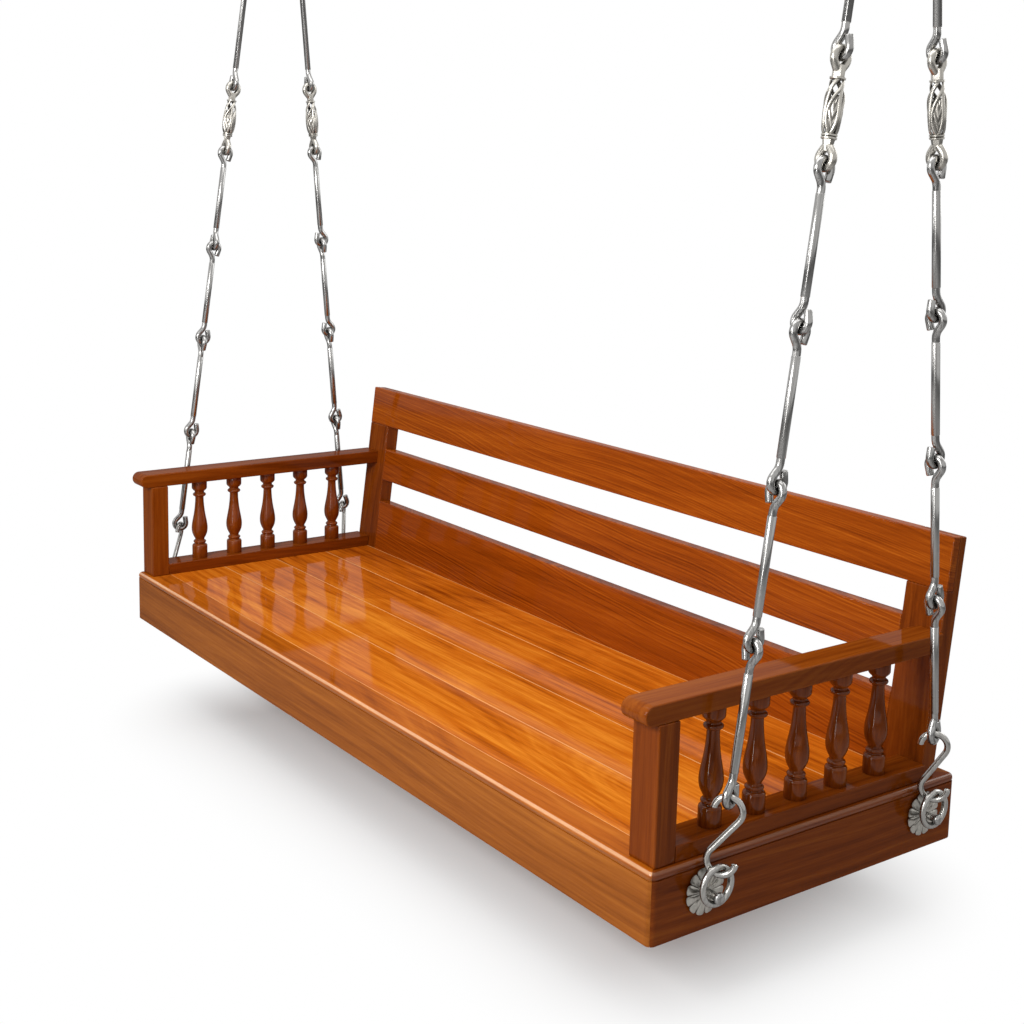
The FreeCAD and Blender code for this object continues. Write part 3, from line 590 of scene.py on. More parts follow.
def round_over(
    mesh: BMesh, geom: Sequence[object], width: float, steps: int, affect: str = "EDGES"
) -> None:
    """Bevel some edges or corners of a mesh to a round."""
    bmesh.ops.bevel(
        mesh, geom=geom, offset=width, segments=steps, profile=0.5,
        affect=affect, clamp_overlap=True, material=-1,
    )


def ease(
    mesh: BMesh, width: float, steps: int = 3, wanted: Callable[[BMEdge], bool] = is_sharp
) -> None:
    """Round over the edges of a mesh that pass a test."""
    round_over(mesh, [edge for edge in mesh.edges if wanted(edge)], width, steps)


def cut_away(mesh: BMesh, point: Sequence[float], outward: Sequence[float]) -> None:
    """Cut off all that lies beyond a plane and close the cut."""
    everything = mesh.verts[:] + mesh.edges[:] + mesh.faces[:]
    cut = bmesh.ops.bisect_plane(
        mesh, geom=everything, dist=SAME, plane_co=point, plane_no=outward, clear_outer=True
    )
    bmesh.ops.edgenet_fill(mesh, edges=only(BMEdge, cut["geom_cut"]))


def turning(mesh: BMesh, profile: Sequence[Pair], matrix: Matrix, sides: int) -> None:
    """Add a turning about Z to a mesh.

    Args:
        mesh: the mesh that grows.
        profile: (height, radius) pairs from one end to the other.
        matrix: place of the turning's own frame.
        sides: count of flats round it.
    """
    points = [mesh.verts.new((radius, 0.0, height)) for height, radius in profile]
    edges = [mesh.edges.new(pair) for pair in zip(points, points[1:])]
    before = set(mesh.verts) - set(points)
    bmesh.ops.spin(
        mesh, geom=points + edges, cent=ZERO, axis=(0, 0, 1),
        angle=math.tau, steps=sides, use_merge=True,
    )
    grown = [vert for vert in mesh.verts if vert not in before]
    bmesh.ops.remove_doubles(mesh, verts=grown, dist=SAME)
    grown = [vert for vert in mesh.verts if vert not in before]
    bmesh.ops.transform(mesh, matrix=matrix, verts=grown)


class BentWire:
    """Round wire laid along straight runs with true arcs where it bends."""

    def __init__(self, thickness: float, sides: int, arc_step: float) -> None:
        """Keep the wire's sizes.

        Args:
            thickness: diameter of the wire.
            sides: count of flats round the wire.
            arc_step: degrees of each step of a bend.
        """
        self.thickness = thickness
        self.sides = sides
        self.arc_step = math.radians(arc_step)

    def section(self, mesh: BMesh, centre: Vector, along: Vector) -> List[BMEdge]:
        """Circle of the wire across its direction."""
        made = bmesh.ops.create_circle(
            mesh, cap_ends=False, segments=self.sides, radius=self.thickness / 2,
            matrix=facing(centre, along),
        )
        return list({edge for vert in made["verts"] for edge in vert.link_edges})

    @staticmethod
    def run(mesh: BMesh, loop: List[BMEdge], move: Vector) -> List[BMEdge]:
        """Draw the end of the wire out along a straight run."""
        grown = bmesh.ops.extrude_edge_only(mesh, edges=loop)["geom"]
        bmesh.ops.translate(mesh, vec=move, verts=only(BMVert, grown))
        return only(BMEdge, grown)

    def turn(
        self, mesh: BMesh, loop: List[BMEdge], centre: Vector, axis: Vector, angle: float
    ) -> List[BMEdge]:
        """Bend the end of the wire about a centre."""
        verts = {vert for edge in loop for vert in edge.verts}
        steps = max(1, math.ceil(angle / self.arc_step))
        grown = bmesh.ops.spin(
            mesh, geom=list(verts) + loop, cent=centre, axis=axis, angle=angle, steps=steps
        )
        return only(BMEdge, grown["geom_last"])

    def lay(self, mesh: BMesh, route: Route, closed: bool = False) -> None:
        """Lay the wire along corners with their own bending radii.

        Args:
            mesh: the mesh that grows.
            route: the corners and the radius of the bend at each.
            closed: whether the wire joins up with its start.
        """
        points = [Vector(point) for point, _ in route]
        radii = [radius for _, radius in route]
        if closed:
            start = (points[-1] + points[0]) / 2
            points = [start] + points + [start]
            radii = [0.0] + radii + [0.0]
        here = points[0]
        heading = (points[1] - points[0]).normalized()
        loop = self.section(mesh, here, heading)
        first = list(loop)
        for corner, after, radius in zip(points[1:], points[2:], radii[1:]):
            following = (after - corner).normalized()
            angle = heading.angle(following)
            reach = radius * math.tan(angle / 2)
            stop = corner - heading * reach
            if (stop - here).length > SAME:
                loop = self.run(mesh, loop, stop - here)
            axis = heading.cross(following).normalized()
            loop = self.turn(mesh, loop, stop + axis.cross(heading) * radius, axis, angle)
            here = corner + following * reach
            heading = following
        last = self.run(mesh, loop, points[-1] - here)
        if closed:
            verts = {vert for edge in first + last for vert in edge.verts}
            bmesh.ops.remove_doubles(mesh, verts=list(verts), dist=NEAR)
            return
        for rim in (first, last):
            bmesh.ops.edgeloop_fill(mesh, edges=rim)
            round_over(mesh, rim, self.thickness * 0.14, 3)


def bend(centre: Pair, radius: float, first: float, step: float, count: int) -> List[Pair]:
    """Corners of straight runs that touch an arc at even steps, as (across, up) pairs."""
    reach = radius / math.cos(math.radians(step / 2))
    angles = [math.radians(first + (number + 0.5) * step) for number in range(count)]
    return [
        (centre[0] + reach * math.cos(angle), centre[1] + reach * math.sin(angle))
        for angle in angles
    ]


def in_plane(pair: Pair, turn: float, sign: int = 1) -> Vector:
    """Point of an upright plane turned about Z, mirrored for the left side."""
    angle = math.radians(turn)
    across = Vector((sign * math.cos(angle), math.sin(angle), 0.0))
    return across * pair[0] + Vector((0.0, 0.0, pair[1]))


# Seat


@dataclass
class SeatFrame:
    """Four mitred beams with a fine groove and a rounded bead along the top."""

    corner: float = 0.011
    corner_steps: int = 8
    groove_rise: float = 0.097
    groove_height: float = 0.002
    groove_depth: float = 0.0015
    beam_width: float = 0.054
    mitre_gap: float = 0.00008
    foot_ease: float = 0.0016
    # Shares of the painted highlight along the bead's crest, on the front beam and on the other
    # beams
    front_painted_highlight: float = 0.75
    painted_highlight: float = 0.12
    bead_steps: Sequence[Pair] = (
        (-0.0009, 0.0004), (-0.0006, 0.0014), (0.0, 0.0026), (0.0004, 0.0020),
        (0.0010, 0.0019), (0.0016, 0.0014), (0.0020, 0.0009), (0.0024, 0.0004),
    )

    def ring(self) -> BMesh:
        """Whole frame as one slab with rounded corners, stepped by insets."""
        low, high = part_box("front_beam")
        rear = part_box("rear_beam")[1]
        middle = Vector(((low[0] + high[0]) / 2, (low[1] + rear[1]) / 2, low[2]))
        size = Matrix.Diagonal((high[0] - low[0], rear[1] - low[1], 1.0, 1.0))
        matrix = Matrix.Translation(middle) @ size
        mesh = bmesh.new()
        bmesh.ops.create_grid(mesh, x_segments=1, y_segments=1, size=0.5, matrix=matrix)
        round_over(mesh, mesh.verts[:], self.corner, self.corner_steps, "VERTICES")
        top = push_face(mesh, (0.0, 0.0, self.groove_rise))
        step_in(mesh, top, [(self.groove_depth, 0.0), (0.0, self.groove_height), *self.bead_steps])
        return mesh

    def build(self) -> None:
        """Cut the slab into its four beams and dress each."""
        low, front_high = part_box("front_beam")
        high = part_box("rear_beam")[1]
        xs = {-1: low[0], 0: 0.0, 1: front_high[0]}
        ys = {-1: low[1], 0: 0.0, 1: high[1]}
        foot = low[2] + NEAR
        ways = {
            "front_beam": (0, -1),
            "rear_beam": (0, 1),
            "left_end_beam": (-1, 0),
            "right_end_beam": (1, 0),
        }
        slab = self.ring()
        for board, (node, (x, y)) in enumerate(ways.items(), 1):
            beam = slab.copy()
            inner = (xs[x] - x * self.beam_width, ys[y] - y * self.beam_width, 0.0)
            cut_away(beam, inner, (-x, -y, 0))
            for end in (-1, 1):
                outward = Vector((-x or end, -y or end, 0)).normalized()
                corner = Vector((xs[x or end], ys[y or end], 0.0))
                cut_away(beam, corner - outward * self.mitre_gap, outward)
            ease(beam, self.foot_ease, 2, lambda edge: middle_of(edge).z < foot and is_sharp(edge))
            grain, wood = (Grain.ALONG_Y, ARM_TEAK) if x else (Grain.ALONG_X, FRAME_TEAK)
            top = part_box(node)[1][2]
            accents = Accents(top, painted_highlight_share=self.painted_highlight)
            if node == "front_beam":
                accents = Accents(top, DECK_EDGE_TEAK, self.front_painted_highlight)
            wood.dress(node, "moulded", beam, grain, board, accents)
        slab.free()


@dataclass
class SeatDeck:
    """Planks of the seat with eased edges."""

    back_line: float
    seam_inset: float = 0.001
    count: int = 4
    edge_ease: float = 0.0012

    def build(self) -> None:
        """Build and dress the planks."""
        for number in range(1, self.count + 1):
            node = f"seat_plank_{number}"
            low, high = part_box(node)
            plank = block(low, high)
            ease(plank, self.edge_ease)
            # Painted highlight lines along both long edges of the plank and along the foot of the
            # back
            accents = Accents(seams=(low[1], high[1], self.back_line - self.seam_inset))
            SEAT_TEAK.dress(node, "eased", plank, Grain.ALONG_X, 10 + number * 3, accents)


@dataclass
class SeatBack:
    """Leaning back: posts, top rail, middle rail and the board on the seat."""

    foot_y: float = 0.200
    foot_z: float = -2.080
    lean: float = 6.7
    thickness: float = 0.032
    half_width: float = 0.897
    post_width: float = 0.082
    height: float = 0.396
    top_rail: float = 0.089
    sink: float = 0.02
    boards: Sequence[Tuple[str, float, float]] = (
        ("back_middle_rail", 0.174, 0.250),
        ("back_bottom_board", -0.02, 0.120),
    )
    edge_ease: float = 0.0022

    def finished(self, node: str, mesh: BMesh, wood: Teak, grain: Grain, board: int) -> None:
        """Round the edges, lean the piece, cut its foot level with the seat and dress it."""
        ease(mesh, self.edge_ease)
        move = Matrix.Translation((0.0, self.foot_y, self.foot_z))
        bmesh.ops.transform(mesh, matrix=move @ turn_about("X", -self.lean), verts=mesh.verts[:])
        if min(vert.co.z for vert in mesh.verts) < self.foot_z:
            cut_away(mesh, (0.0, 0.0, self.foot_z), (0.0, 0.0, -1.0))
        wood.dress(node, "eased", mesh, grain, board)

    def post(self, side: Side) -> None:
        """One post, lapped for the top rail."""
        inner = side.value * (self.half_width - self.post_width)
        deep, high, foot = self.thickness, self.height, -self.sink
        half, lap = deep / 2, high - self.top_rail
        outline = [(0.0, foot), (deep, foot), (deep, high), (half, high), (half, lap), (0.0, lap)]
        corners = [Vector((inner, y, z)) for y, z in outline]
        mesh = prism(corners, (side.value * self.post_width, 0.0, 0.0))
        node = f"{side.label}_back_post"
        self.finished(node, mesh, ARM_TEAK, Grain.ALONG_Z, 23 + side.value)

    def rail(self) -> None:
        """Top rail over the full width, halved over the posts."""
        low, end, deep = self.height - self.top_rail, self.half_width, self.thickness
        shoulder, half = end - self.post_width, deep / 2
        plan = [(-end, 0.0), (end, 0.0), (end, half), (shoulder, half)]
        plan += [(shoulder, deep), (-shoulder, deep), (-shoulder, half), (-end, half)]
        mesh = prism([Vector((x, y, low)) for x, y in plan], (0.0, 0.0, self.top_rail))
        self.finished("back_top_rail", mesh, RAIL_TEAK, Grain.ALONG_X, 31)

    def build(self) -> None:
        """Build and dress the whole back."""
        for side in Side:
            self.post(side)
        self.rail()
        shoulder = self.half_width - self.post_width
        for number, (node, low, high) in enumerate(self.boards):
            mesh = block((-shoulder, 0.0, low), (shoulder, self.thickness, high))
            self.finished(node, mesh, RAIL_TEAK, Grain.ALONG_X, 36 + 5 * number)


@dataclass
class Arm:
    """Arm with its post, rails and turned balusters."""

    side: Side
    back: SeatBack
    nose_radius: float = 0.0149
    rail_ease: float = 0.0038
    post_ease: float = 0.0022
    foot_rail_ease: float = 0.0015
    rear_margin: float = 0.05
    nose_steps: int = 9
    baluster_count: int = 5
    baluster_radius: float = 0.0184
    baluster_sides: int = 40
    baluster_profile: Sequence[Pair] = (
        (0.000, 0.00), (0.000, 0.93), (0.006, 0.95), (0.150, 0.95), (0.163, 0.90), (0.172, 0.78),
        (0.178, 0.66), (0.184, 0.64), (0.190, 0.72), (0.200, 0.79), (0.210, 0.79), (0.219, 0.72),
        (0.225, 0.60), (0.236, 0.565), (0.250, 0.62), (0.280, 0.78), (0.315, 0.92),
        (0.350, 0.985), (0.385, 1.00), (0.425, 0.97), (0.480, 0.88), (0.540, 0.76), (0.600, 0.66),
        (0.660, 0.59), (0.720, 0.54), (0.775, 0.52), (0.790, 0.54), (0.796, 0.66), (0.804, 0.77),
        (0.815, 0.82), (0.826, 0.80), (0.835, 0.70), (0.840, 0.60), (0.850, 0.57), (0.862, 0.62),
        (0.876, 0.78), (0.890, 0.90), (0.903, 0.95), (0.995, 0.95), (1.000, 0.93), (1.000, 0.00),
    )

    def cut_to_back(self, mesh: BMesh) -> None:
        """Cut the rear end to the slope of the back."""
        lean = math.radians(self.back.lean)
        outward = (0.0, math.cos(lean), -math.sin(lean))
        cut_away(mesh, (0.0, self.back.foot_y, self.back.foot_z), outward)

    def finished(self, node: str, word: str, mesh: BMesh, grain: Grain, board: int) -> None:
        """Dress a piece of the arm."""
        wood = TURNED_TEAK if word == "turned" else ARM_TEAK
        wood.dress(node, word, mesh, grain, board + 7 * self.side.value)

    def post(self) -> None:
        """Front post."""
        node = f"{self.side.label}_arm_post"
        mesh = block(*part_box(node))
        ease(mesh, self.post_ease)
        self.finished(node, "eased", mesh, Grain.ALONG_Z, 50)

    def rail(self) -> None:
        """Arm rail with a round nose."""
        node = f"{self.side.label}_arm_rail"
        low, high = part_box(node)
        mesh = block(low, high)
        self.cut_to_back(mesh)
        front, rear = low[1] + NEAR, high[1] - self.rear_margin

        def at_nose(edge: BMEdge) -> bool:
            """Whether an edge runs across the front end of the rail."""
            along = (edge.verts[1].co - edge.verts[0].co).normalized()
            return middle_of(edge).y < front and abs(along.x) > 0.9

        def on_side(edge: BMEdge) -> bool:
            """Whether an edge borders a side of the rail ahead of the back."""
            beside = any(abs(face.normal.x) > 0.99 for face in edge.link_faces)
            return beside and is_sharp(edge) and middle_of(edge).y < rear

        ease(mesh, self.nose_radius, self.nose_steps, at_nose)
        ease(mesh, self.rail_ease, 4, on_side)
        self.finished(node, "rounded", mesh, Grain.ALONG_Y, 60)

    def foot_rail(self) -> None:
        """Low rail under the balusters."""
        node = f"{self.side.label}_arm_foot_rail"
        mesh = block(*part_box(node))
        self.cut_to_back(mesh)
        ease(mesh, self.foot_rail_ease)
        self.finished(node, "eased", mesh, Grain.ALONG_Y, 70)

    def balusters(self) -> None:
        """Row of turned balusters between the post and the back."""
        node = f"{self.side.label}_arm_balusters"
        low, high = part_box(node)
        middle = (low[0] + high[0]) / 2
        radius, height = self.baluster_radius, high[2] - low[2]
        first, last = low[1] + radius, high[1] - radius
        profile = [(share * height, wide * radius) for share, wide in self.baluster_profile]
        mesh = bmesh.new()
        for number in range(self.baluster_count):
            y = first + (last - first) * number / (self.baluster_count - 1)
            place = Matrix.Translation((middle, y, low[2]))
            turning(mesh, profile, place, self.baluster_sides)
        self.finished(node, "turned", mesh, Grain.ALONG_Z, 80)

    def build(self) -> None:
        """Build and dress the arm."""
        self.post()
        self.rail()
        self.foot_rail()
        self.balusters()


# Metalwork


@dataclass
class Stud:
    """Through stud with a domed head, and its flower rosette."""

    name: str
    side: Side
    petals: int = 12
    petal_steps: int = 12
    rosette_radius: float = 0.0358
    notch: float = 0.0068
    thickness: float = 0.0039
    plate: float = 0.0012
    ring_widths: Sequence[float] = (0.0012, 0.0022, 0.0040, 0.0050, 0.0060, 0.0050, 0.0030)
    boss: Sequence[Pair] = ((0.0010, 0.0125), (0.0030, 0.0125), (0.0039, 0.0112), (0.0039, 0.0))
    shaft: float = 0.006
    chamfer: float = 0.001
    head: float = 0.0085
    dome: Sequence[Pair] = (
        (0.0, 0.94), (0.0006, 1.0), (0.0040, 1.0), (0.0056, 0.90),
        (0.0068, 0.70), (0.0076, 0.42), (0.0079, 0.15), (0.0080, 0.0),
    )
    sides: int = 32

    def ends(self, node: str) -> Pair:
        """X of a node's inner and outer end."""
        low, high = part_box(node)
        return (low[0], high[0]) if self.side is Side.RIGHT else (high[0], low[0])

    def place(self) -> Matrix:
        """Place on the outer face of the end beam, with Z pointing outwards."""
        node = f"{self.name}_rosette"
        low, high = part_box(node)
        centre = (self.ends(node)[0], (low[1] + high[1]) / 2, (low[2] + high[2]) / 2)
        return Matrix.Translation(centre) @ turn_about("Y", self.side.value * 90.0)

    def build_stud(self) -> None:
        """Stud with a domed head."""
        node = f"{self.name}_stud"
        face = self.ends(f"{self.name}_rosette")[0]
        tail, tip = (abs(end - face) for end in self.ends(node))
        start = tip - self.dome[-1][0]
        profile = [(-tail, 0.0), (-tail, self.shaft * 0.85), (-tail + self.chamfer, self.shaft)]
        profile += [(start, self.shaft)]
        profile += [(start + rise, self.head * wide) for rise, wide in self.dome]
        mesh = bmesh.new()
        turning(mesh, profile, self.place(), self.sides)
        ROD_STEEL.dress(node, "domed", mesh, Body.SEAT)

    def build_rosette(self) -> None:
        """Flower plate with rounded, hollowed petals."""
        mesh = bmesh.new()
        tarnish_and_shade = mesh.verts.layers.float.new("tarnish_and_shade")
        full, segments = self.rosette_radius, self.petals * self.petal_steps
        bmesh.ops.create_circle(mesh, cap_ends=True, segments=segments, radius=full)
        face = push_face(mesh, (0.0, 0.0, self.plate))
        step_in(mesh, face, [(width, 0.0) for width in self.ring_widths])
        for vert in mesh.verts:
            flat = Vector((vert.co.x, vert.co.y, 0.0))
            share = min(flat.length / full, 1.0)
            petal = abs(math.sin(math.atan2(flat.y, flat.x) * self.petals / 2))
            rounded = math.sqrt(1.0 - (1.0 - petal) ** 2)
            wide = full - self.notch * (1.0 - rounded)
            scale = 1.0 + (wide / full - 1.0) * share
            crown = math.sin(min(1.0, (1.0 - share) * 2.6) * math.pi / 2)
            dip = (1.0 - rounded) * min(1.0, share * 1.6)
            lift = (self.thickness - self.plate) * max(0.0, crown - 0.85 * dip)
            lift = 0.0 if vert.co.z < NEAR else lift
            vert.co = Vector((vert.co.x * scale, vert.co.y * scale, vert.co.z + lift))
            # Tarnish with painted shade in the notches between the petals and towards the rim
            vert[tarnish_and_shade] = 0.85 * (1.0 - rounded) ** 2 + 0.15 * (1.0 - crown)
        turning(mesh, self.boss, Matrix.Identity(4), self.sides)
        bmesh.ops.transform(mesh, matrix=self.place(), verts=mesh.verts[:])
        CAST_METAL.dress(f"{self.name}_rosette", "petalled", mesh, Body.SEAT)

    def build(self) -> None:
        """Build and dress the stud and its rosette."""
        self.build_stud()
        self.build_rosette()


@dataclass
class Chain:
    """One chain from its stud to the bar of the triangular link above."""

    name: str
    side: Side
    stud_y: float
    bar_y: float
    eye_turns: Sequence[Pair]
    chain_x: float = 0.937
    stud_z: float = -2.128
    bar_z: float = -0.183
    rod_wire: float = 0.012
    hook_wire: float = 0.010
    ring_wire: float = 0.010
    bar_wire: float = 0.014
    stud_radius: float = 0.006
    clearance: float = 0.0003
    crossing: float = 0.0009
    slack: float = 0.0009
    ring_radius: float = 0.027
    curl_radius: float = 0.0205
    hook_rise: float = 0.112
    hook_turn: float = 38.0
    hook_tip: float = 0.006
    eye_slant: float = 37.0
    eye_end: float = 374.0
    eye_bends: int = 6
    sleeve: float = 0.0066
    sleeve_step: float = 0.0009
    sleeve_sink: float = 0.0002
    sleeve_margin: float = 2.6
    stub_rise: float = 0.017
    rod_pitch: float = 0.223
    cast_pitch: float = 0.150
    neck: float = 0.016
    lower_neck: Sequence[Pair] = (
        (0.0, 0.0), (0.0, 0.0060), (0.002, 0.0066), (0.016, 0.0089), (0.016, 0.0)
    )
    upper_neck: Sequence[Pair] = (
        (-0.016, 0.0), (-0.016, 0.0089), (-0.002, 0.0090), (0.0, 0.0082), (0.0, 0.0)
    )
    collars_low: float = 0.008
    collar_high: float = 0.004
    collar_half: float = 0.002
    collar: Sequence[Pair] = (
        (-0.0019, 0.0), (-0.0019, 0.0098), (-0.0011, 0.0112),
        (0.0011, 0.0112), (0.0019, 0.0098), (0.0019, 0.0),
    )
    cage_overlap: float = 0.0015
    cage_waist: float = 0.0074
    cage_swell: float = 0.0064
    cage_twist: float = 100.0
    almond_foot: float = 7.0
    almond_swell: float = 30.0
    almond_top: float = 0.80
    leaf_count: int = 4
    leaf_turn: float = 41.0
    leaf_top: float = 0.70
    leaf_relief: float = 0.0010
    strap_half: float = 0.0030
    strap_relief: float = 0.0018
    leaf_cells: Tuple[int, int] = (16, 44)
    strap_cells: Tuple[int, int] = (6, 34)
    sheet: float = 0.0016

    def __post_init__(self) -> None:
        """Work out the heights along the chain above its stud."""
        self.eye = self.rod_wire + self.slack
        ring_foot = -(self.stud_radius + self.ring_wire / 2 + self.clearance)
        self.ring_centre = ring_foot + self.ring_radius
        self.hook_foot = self.ring_centre + self.ring_radius - self.ring_wire - self.crossing
        self.hook_top = self.hook_foot + self.hook_rise
        rod_foot = self.hook_top - (self.hook_wire + self.rod_wire) / 2 - self.crossing
        gap = 2 * self.eye - self.rod_wire - self.clearance
        count = len(self.eye_turns)
        self.rod_lows = [rod_foot + self.eye + step * self.rod_pitch for step in range(count)]
        self.rod_reach = self.rod_pitch - gap
        self.cast_low = self.rod_lows[-1] + self.rod_pitch
        self.cast_reach = self.cast_pitch - gap
        self.upper_low = self.cast_low + self.cast_pitch
        foot = Vector((self.side.value * self.chain_x, self.stud_y, self.stud_z))
        run = Vector((foot.x, self.bar_y, self.bar_z)) - foot
        self.length = run.length
        self.lean = math.atan2(run.y, run.z)
        turn = Vector((0, 0, 1)).rotation_difference(run.normalized())
        self.place = Matrix.Translation(foot) @ turn.to_matrix().to_4x4()

    def finished(
        self, word: str, piece: str, mesh: BMesh, finish: PlatedSteel, body: Optional[Body] = None
    ) -> None:
        """Lean a piece of the chain to its place and dress it."""
        bmesh.ops.transform(mesh, matrix=self.place, verts=mesh.verts[:])
        turn = (self.lean, 0.0, 0.0)
        finish.dress(f"{self.name}_{piece}", word, mesh, body or self.side.chain_body, turn)

    def ring_link(self) -> None:
        """Round link on the stud."""
        mesh = bmesh.new()
        pairs = bend((0.0, self.ring_centre), self.ring_radius, -90.0, 60.0, 6)
        route = [(in_plane(pair, 90.0), self.ring_radius) for pair in pairs]
        BentWire(self.ring_wire, sides=20, arc_step=9.0).lay(mesh, route, closed=True)
        self.finished("round", "ring_link", mesh, HOOK_STEEL, Body.SEAT)

    def s_hook(self) -> None:
        """Hook with two open curls."""
        radius = self.curl_radius
        middle = (self.hook_foot + self.hook_top) / 2
        apart = self.hook_top - self.hook_foot - 2 * radius
        slant = math.degrees(math.asin(2 * radius / apart))
        step = (90.0 + slant) / 3
        curl = bend((0.0, apart / 2), radius, 90.0 + 2 * step, -step, 5)
        tip_turn = math.radians(90.0 + 2 * step)
        across, up = curl[0]
        tip = (across - self.hook_tip * math.sin(tip_turn), up + self.hook_tip * math.cos(tip_turn))
        upper = [tip] + curl
        pairs = upper + [(-across, -up) for across, up in reversed(upper)]
        sign = self.side.value
        route = [(in_plane((a, u + middle), self.hook_turn, sign), radius) for a, u in pairs]
        mesh = bmesh.new()
        BentWire(self.hook_wire, sides=20, arc_step=10.0).lay(mesh, route)
        self.finished("curled", "s_hook", mesh, HOOK_STEEL)

    def eye_route(self, radius: float) -> List[Corner]:
        """Open eye at the foot of a rod, from its stem round to the cut stub."""
        first = 180.0 - self.eye_slant
        step = (self.eye_end - first) / self.eye_bends
        corners = bend((0.0, 0.0), radius, first, step, self.eye_bends)
        last = math.radians(self.eye_end)
        run = (self.stub_rise - corners[-1][1]) / math.cos(last)
        stub = (corners[-1][0] - run * math.sin(last), self.stub_rise)
        neck = (0.0, radius / math.sin(math.radians(self.eye_slant)))
        return [(neck, radius * 1.6)] + [(corner, radius) for corner in corners] + [(stub, 0.0)]

    def rod(self, mesh: BMesh, low: float, high: float, top_radius: float, turns: Pair) -> None:
        """Add a rod with an open eye at each end and a sleeve between them.

        Args:
            mesh: the mesh that grows.
            low: height of the lower eye's centre.
            high: height of the upper eye's centre.
            top_radius: radius of the upper eye's middle line.
            turns: degrees by which the lower and the upper eye are turned about the rod.
        """
        sign = self.side.value
        lower, upper = (
            [(in_plane(pair, turn, sign), radius) for pair, radius in self.eye_route(eye)]
            for eye, turn in zip((self.eye, top_radius), turns)
        )
        route = [(point + Vector((0, 0, low)), radius) for point, radius in reversed(lower)]
        route += [(Vector((point.x, point.y, high - point.z)), radius) for point, radius in upper]
        BentWire(self.rod_wire, sides=20, arc_step=12.0).lay(mesh, route)
        shoulder = self.eye * self.sleeve_margin
        start, end = low + shoulder, high - shoulder
        wire, step = self.rod_wire / 2 - self.sleeve_sink, self.sleeve_step
        steps = [(0.0, wire), (step / 3, self.sleeve - step / 2), (step, self.sleeve)]
        profile = [(start + rise, radius) for rise, radius in steps]
        profile += [(end - rise, radius) for rise, radius in reversed(steps)]
        turning(mesh, profile, Matrix.Identity(4), sides=24)

    def rods(self) -> None:
        """The four rods between the hook and the cast link."""
        mesh = bmesh.new()
        for low, turns in zip(self.rod_lows, self.eye_turns):
            self.rod(mesh, low, low + self.rod_reach, self.eye, turns)
        self.finished("bent", "rods", mesh, ROD_STEEL)

    def upper_rod(self) -> None:
        """The rod that reaches up to the triangular link."""
        top_eye = (self.bar_wire + self.rod_wire) / 2 + self.slack
        mesh = bmesh.new()
        centre = self.length + (self.bar_wire + self.rod_wire) / 2 + self.crossing - top_eye
        self.rod(mesh, self.upper_low, centre, top_eye, (0.0, 0.0))
        self.finished("bent", "upper_rod", mesh, ROD_STEEL)

    def cast_link(self) -> None:
        """Cast link: eyes, faceted necks, collars and a cage of veined leaves."""
        low, high = self.cast_low, self.cast_low + self.cast_reach
        mesh = bmesh.new()
        mesh.verts.layers.float.new("tarnish_and_shade")
        for centre, turn, way in ((low, 0.0, 1), (high, 90.0, -1)):
            eye = self.cast_eye()
            route = [(in_plane((wide, centre + way * up), turn), bent) for (wide, up), bent in eye]
            BentWire(self.rod_wire, sides=16, arc_step=15.0).lay(mesh, route, closed=True)
        sink = self.eye - self.rod_wire / 4
        low_neck, high_neck = low + sink, high - sink
        low_collar, high_collar = low_neck + self.neck, high_neck - self.neck
        cage_low, cage_high = low_collar + self.collars_low, high_collar - self.collar_high
        half = self.collar_half
        turned = [(low_neck, self.lower_neck, 6, 30.0), (high_neck, self.upper_neck, 6, 30.0)]
        for centre in (low_collar + half, low_collar + 3 * half, cage_high + half):
            turned.append((centre, self.collar, 32, 0.0))
        for centre, steps, sides, turn in turned:
            profile = [(centre + rise, radius) for rise, radius in steps]
            turning(mesh, profile, turn_about("Z", turn), sides)
        cage = (cage_low - self.cage_overlap, cage_high + self.cage_overlap)
        for number in range(self.leaf_count):
            turn = number * 360.0 / self.leaf_count + self.leaf_turn
            self.leaf(mesh, cage, turn)
            for edge in (-1, 1):
                self.strap(mesh, cage, turn, edge)
        self.finished("cast", "cast_link", mesh, CAST_METAL)

    def cast_eye(self) -> List[Corner]:
        """Closed eye that runs to a point above its centre."""
        slant = self.eye_slant
        step = (180.0 + 2 * slant) / self.eye_bends
        corners = bend((0.0, 0.0), self.eye, 180.0 - slant, step, self.eye_bends)
        point = (0.0, self.eye / math.sin(math.radians(slant)))
        return [(point, self.rod_wire * 0.55)] + [(corner, self.eye) for corner in corners]

    def cage_radius(self, share: float) -> float:
        """Radius of the cage at a share of its height."""
        return self.cage_waist + self.cage_swell * math.sin(math.pi * share**0.72) ** 0.9

    def almond(self, share: float) -> float:
        """Degrees from the middle of a leaf to the frame round it."""
        rise = min(share / self.almond_top, 1.0)
        return self.almond_foot + self.almond_swell * math.sin(math.pi * rise**0.8) ** 0.8

    def cage_point(self, cage: Pair, turn: float, share: float, out: float) -> Vector:
        """Point on the swelling cage, which twists near its top."""
        radius = self.cage_radius(share) + out
        angle = math.radians(turn + self.cage_twist * share**4)
        height = cage[0] + (cage[1] - cage[0]) * share
        return Vector((radius * math.cos(angle), radius * math.sin(angle), height))

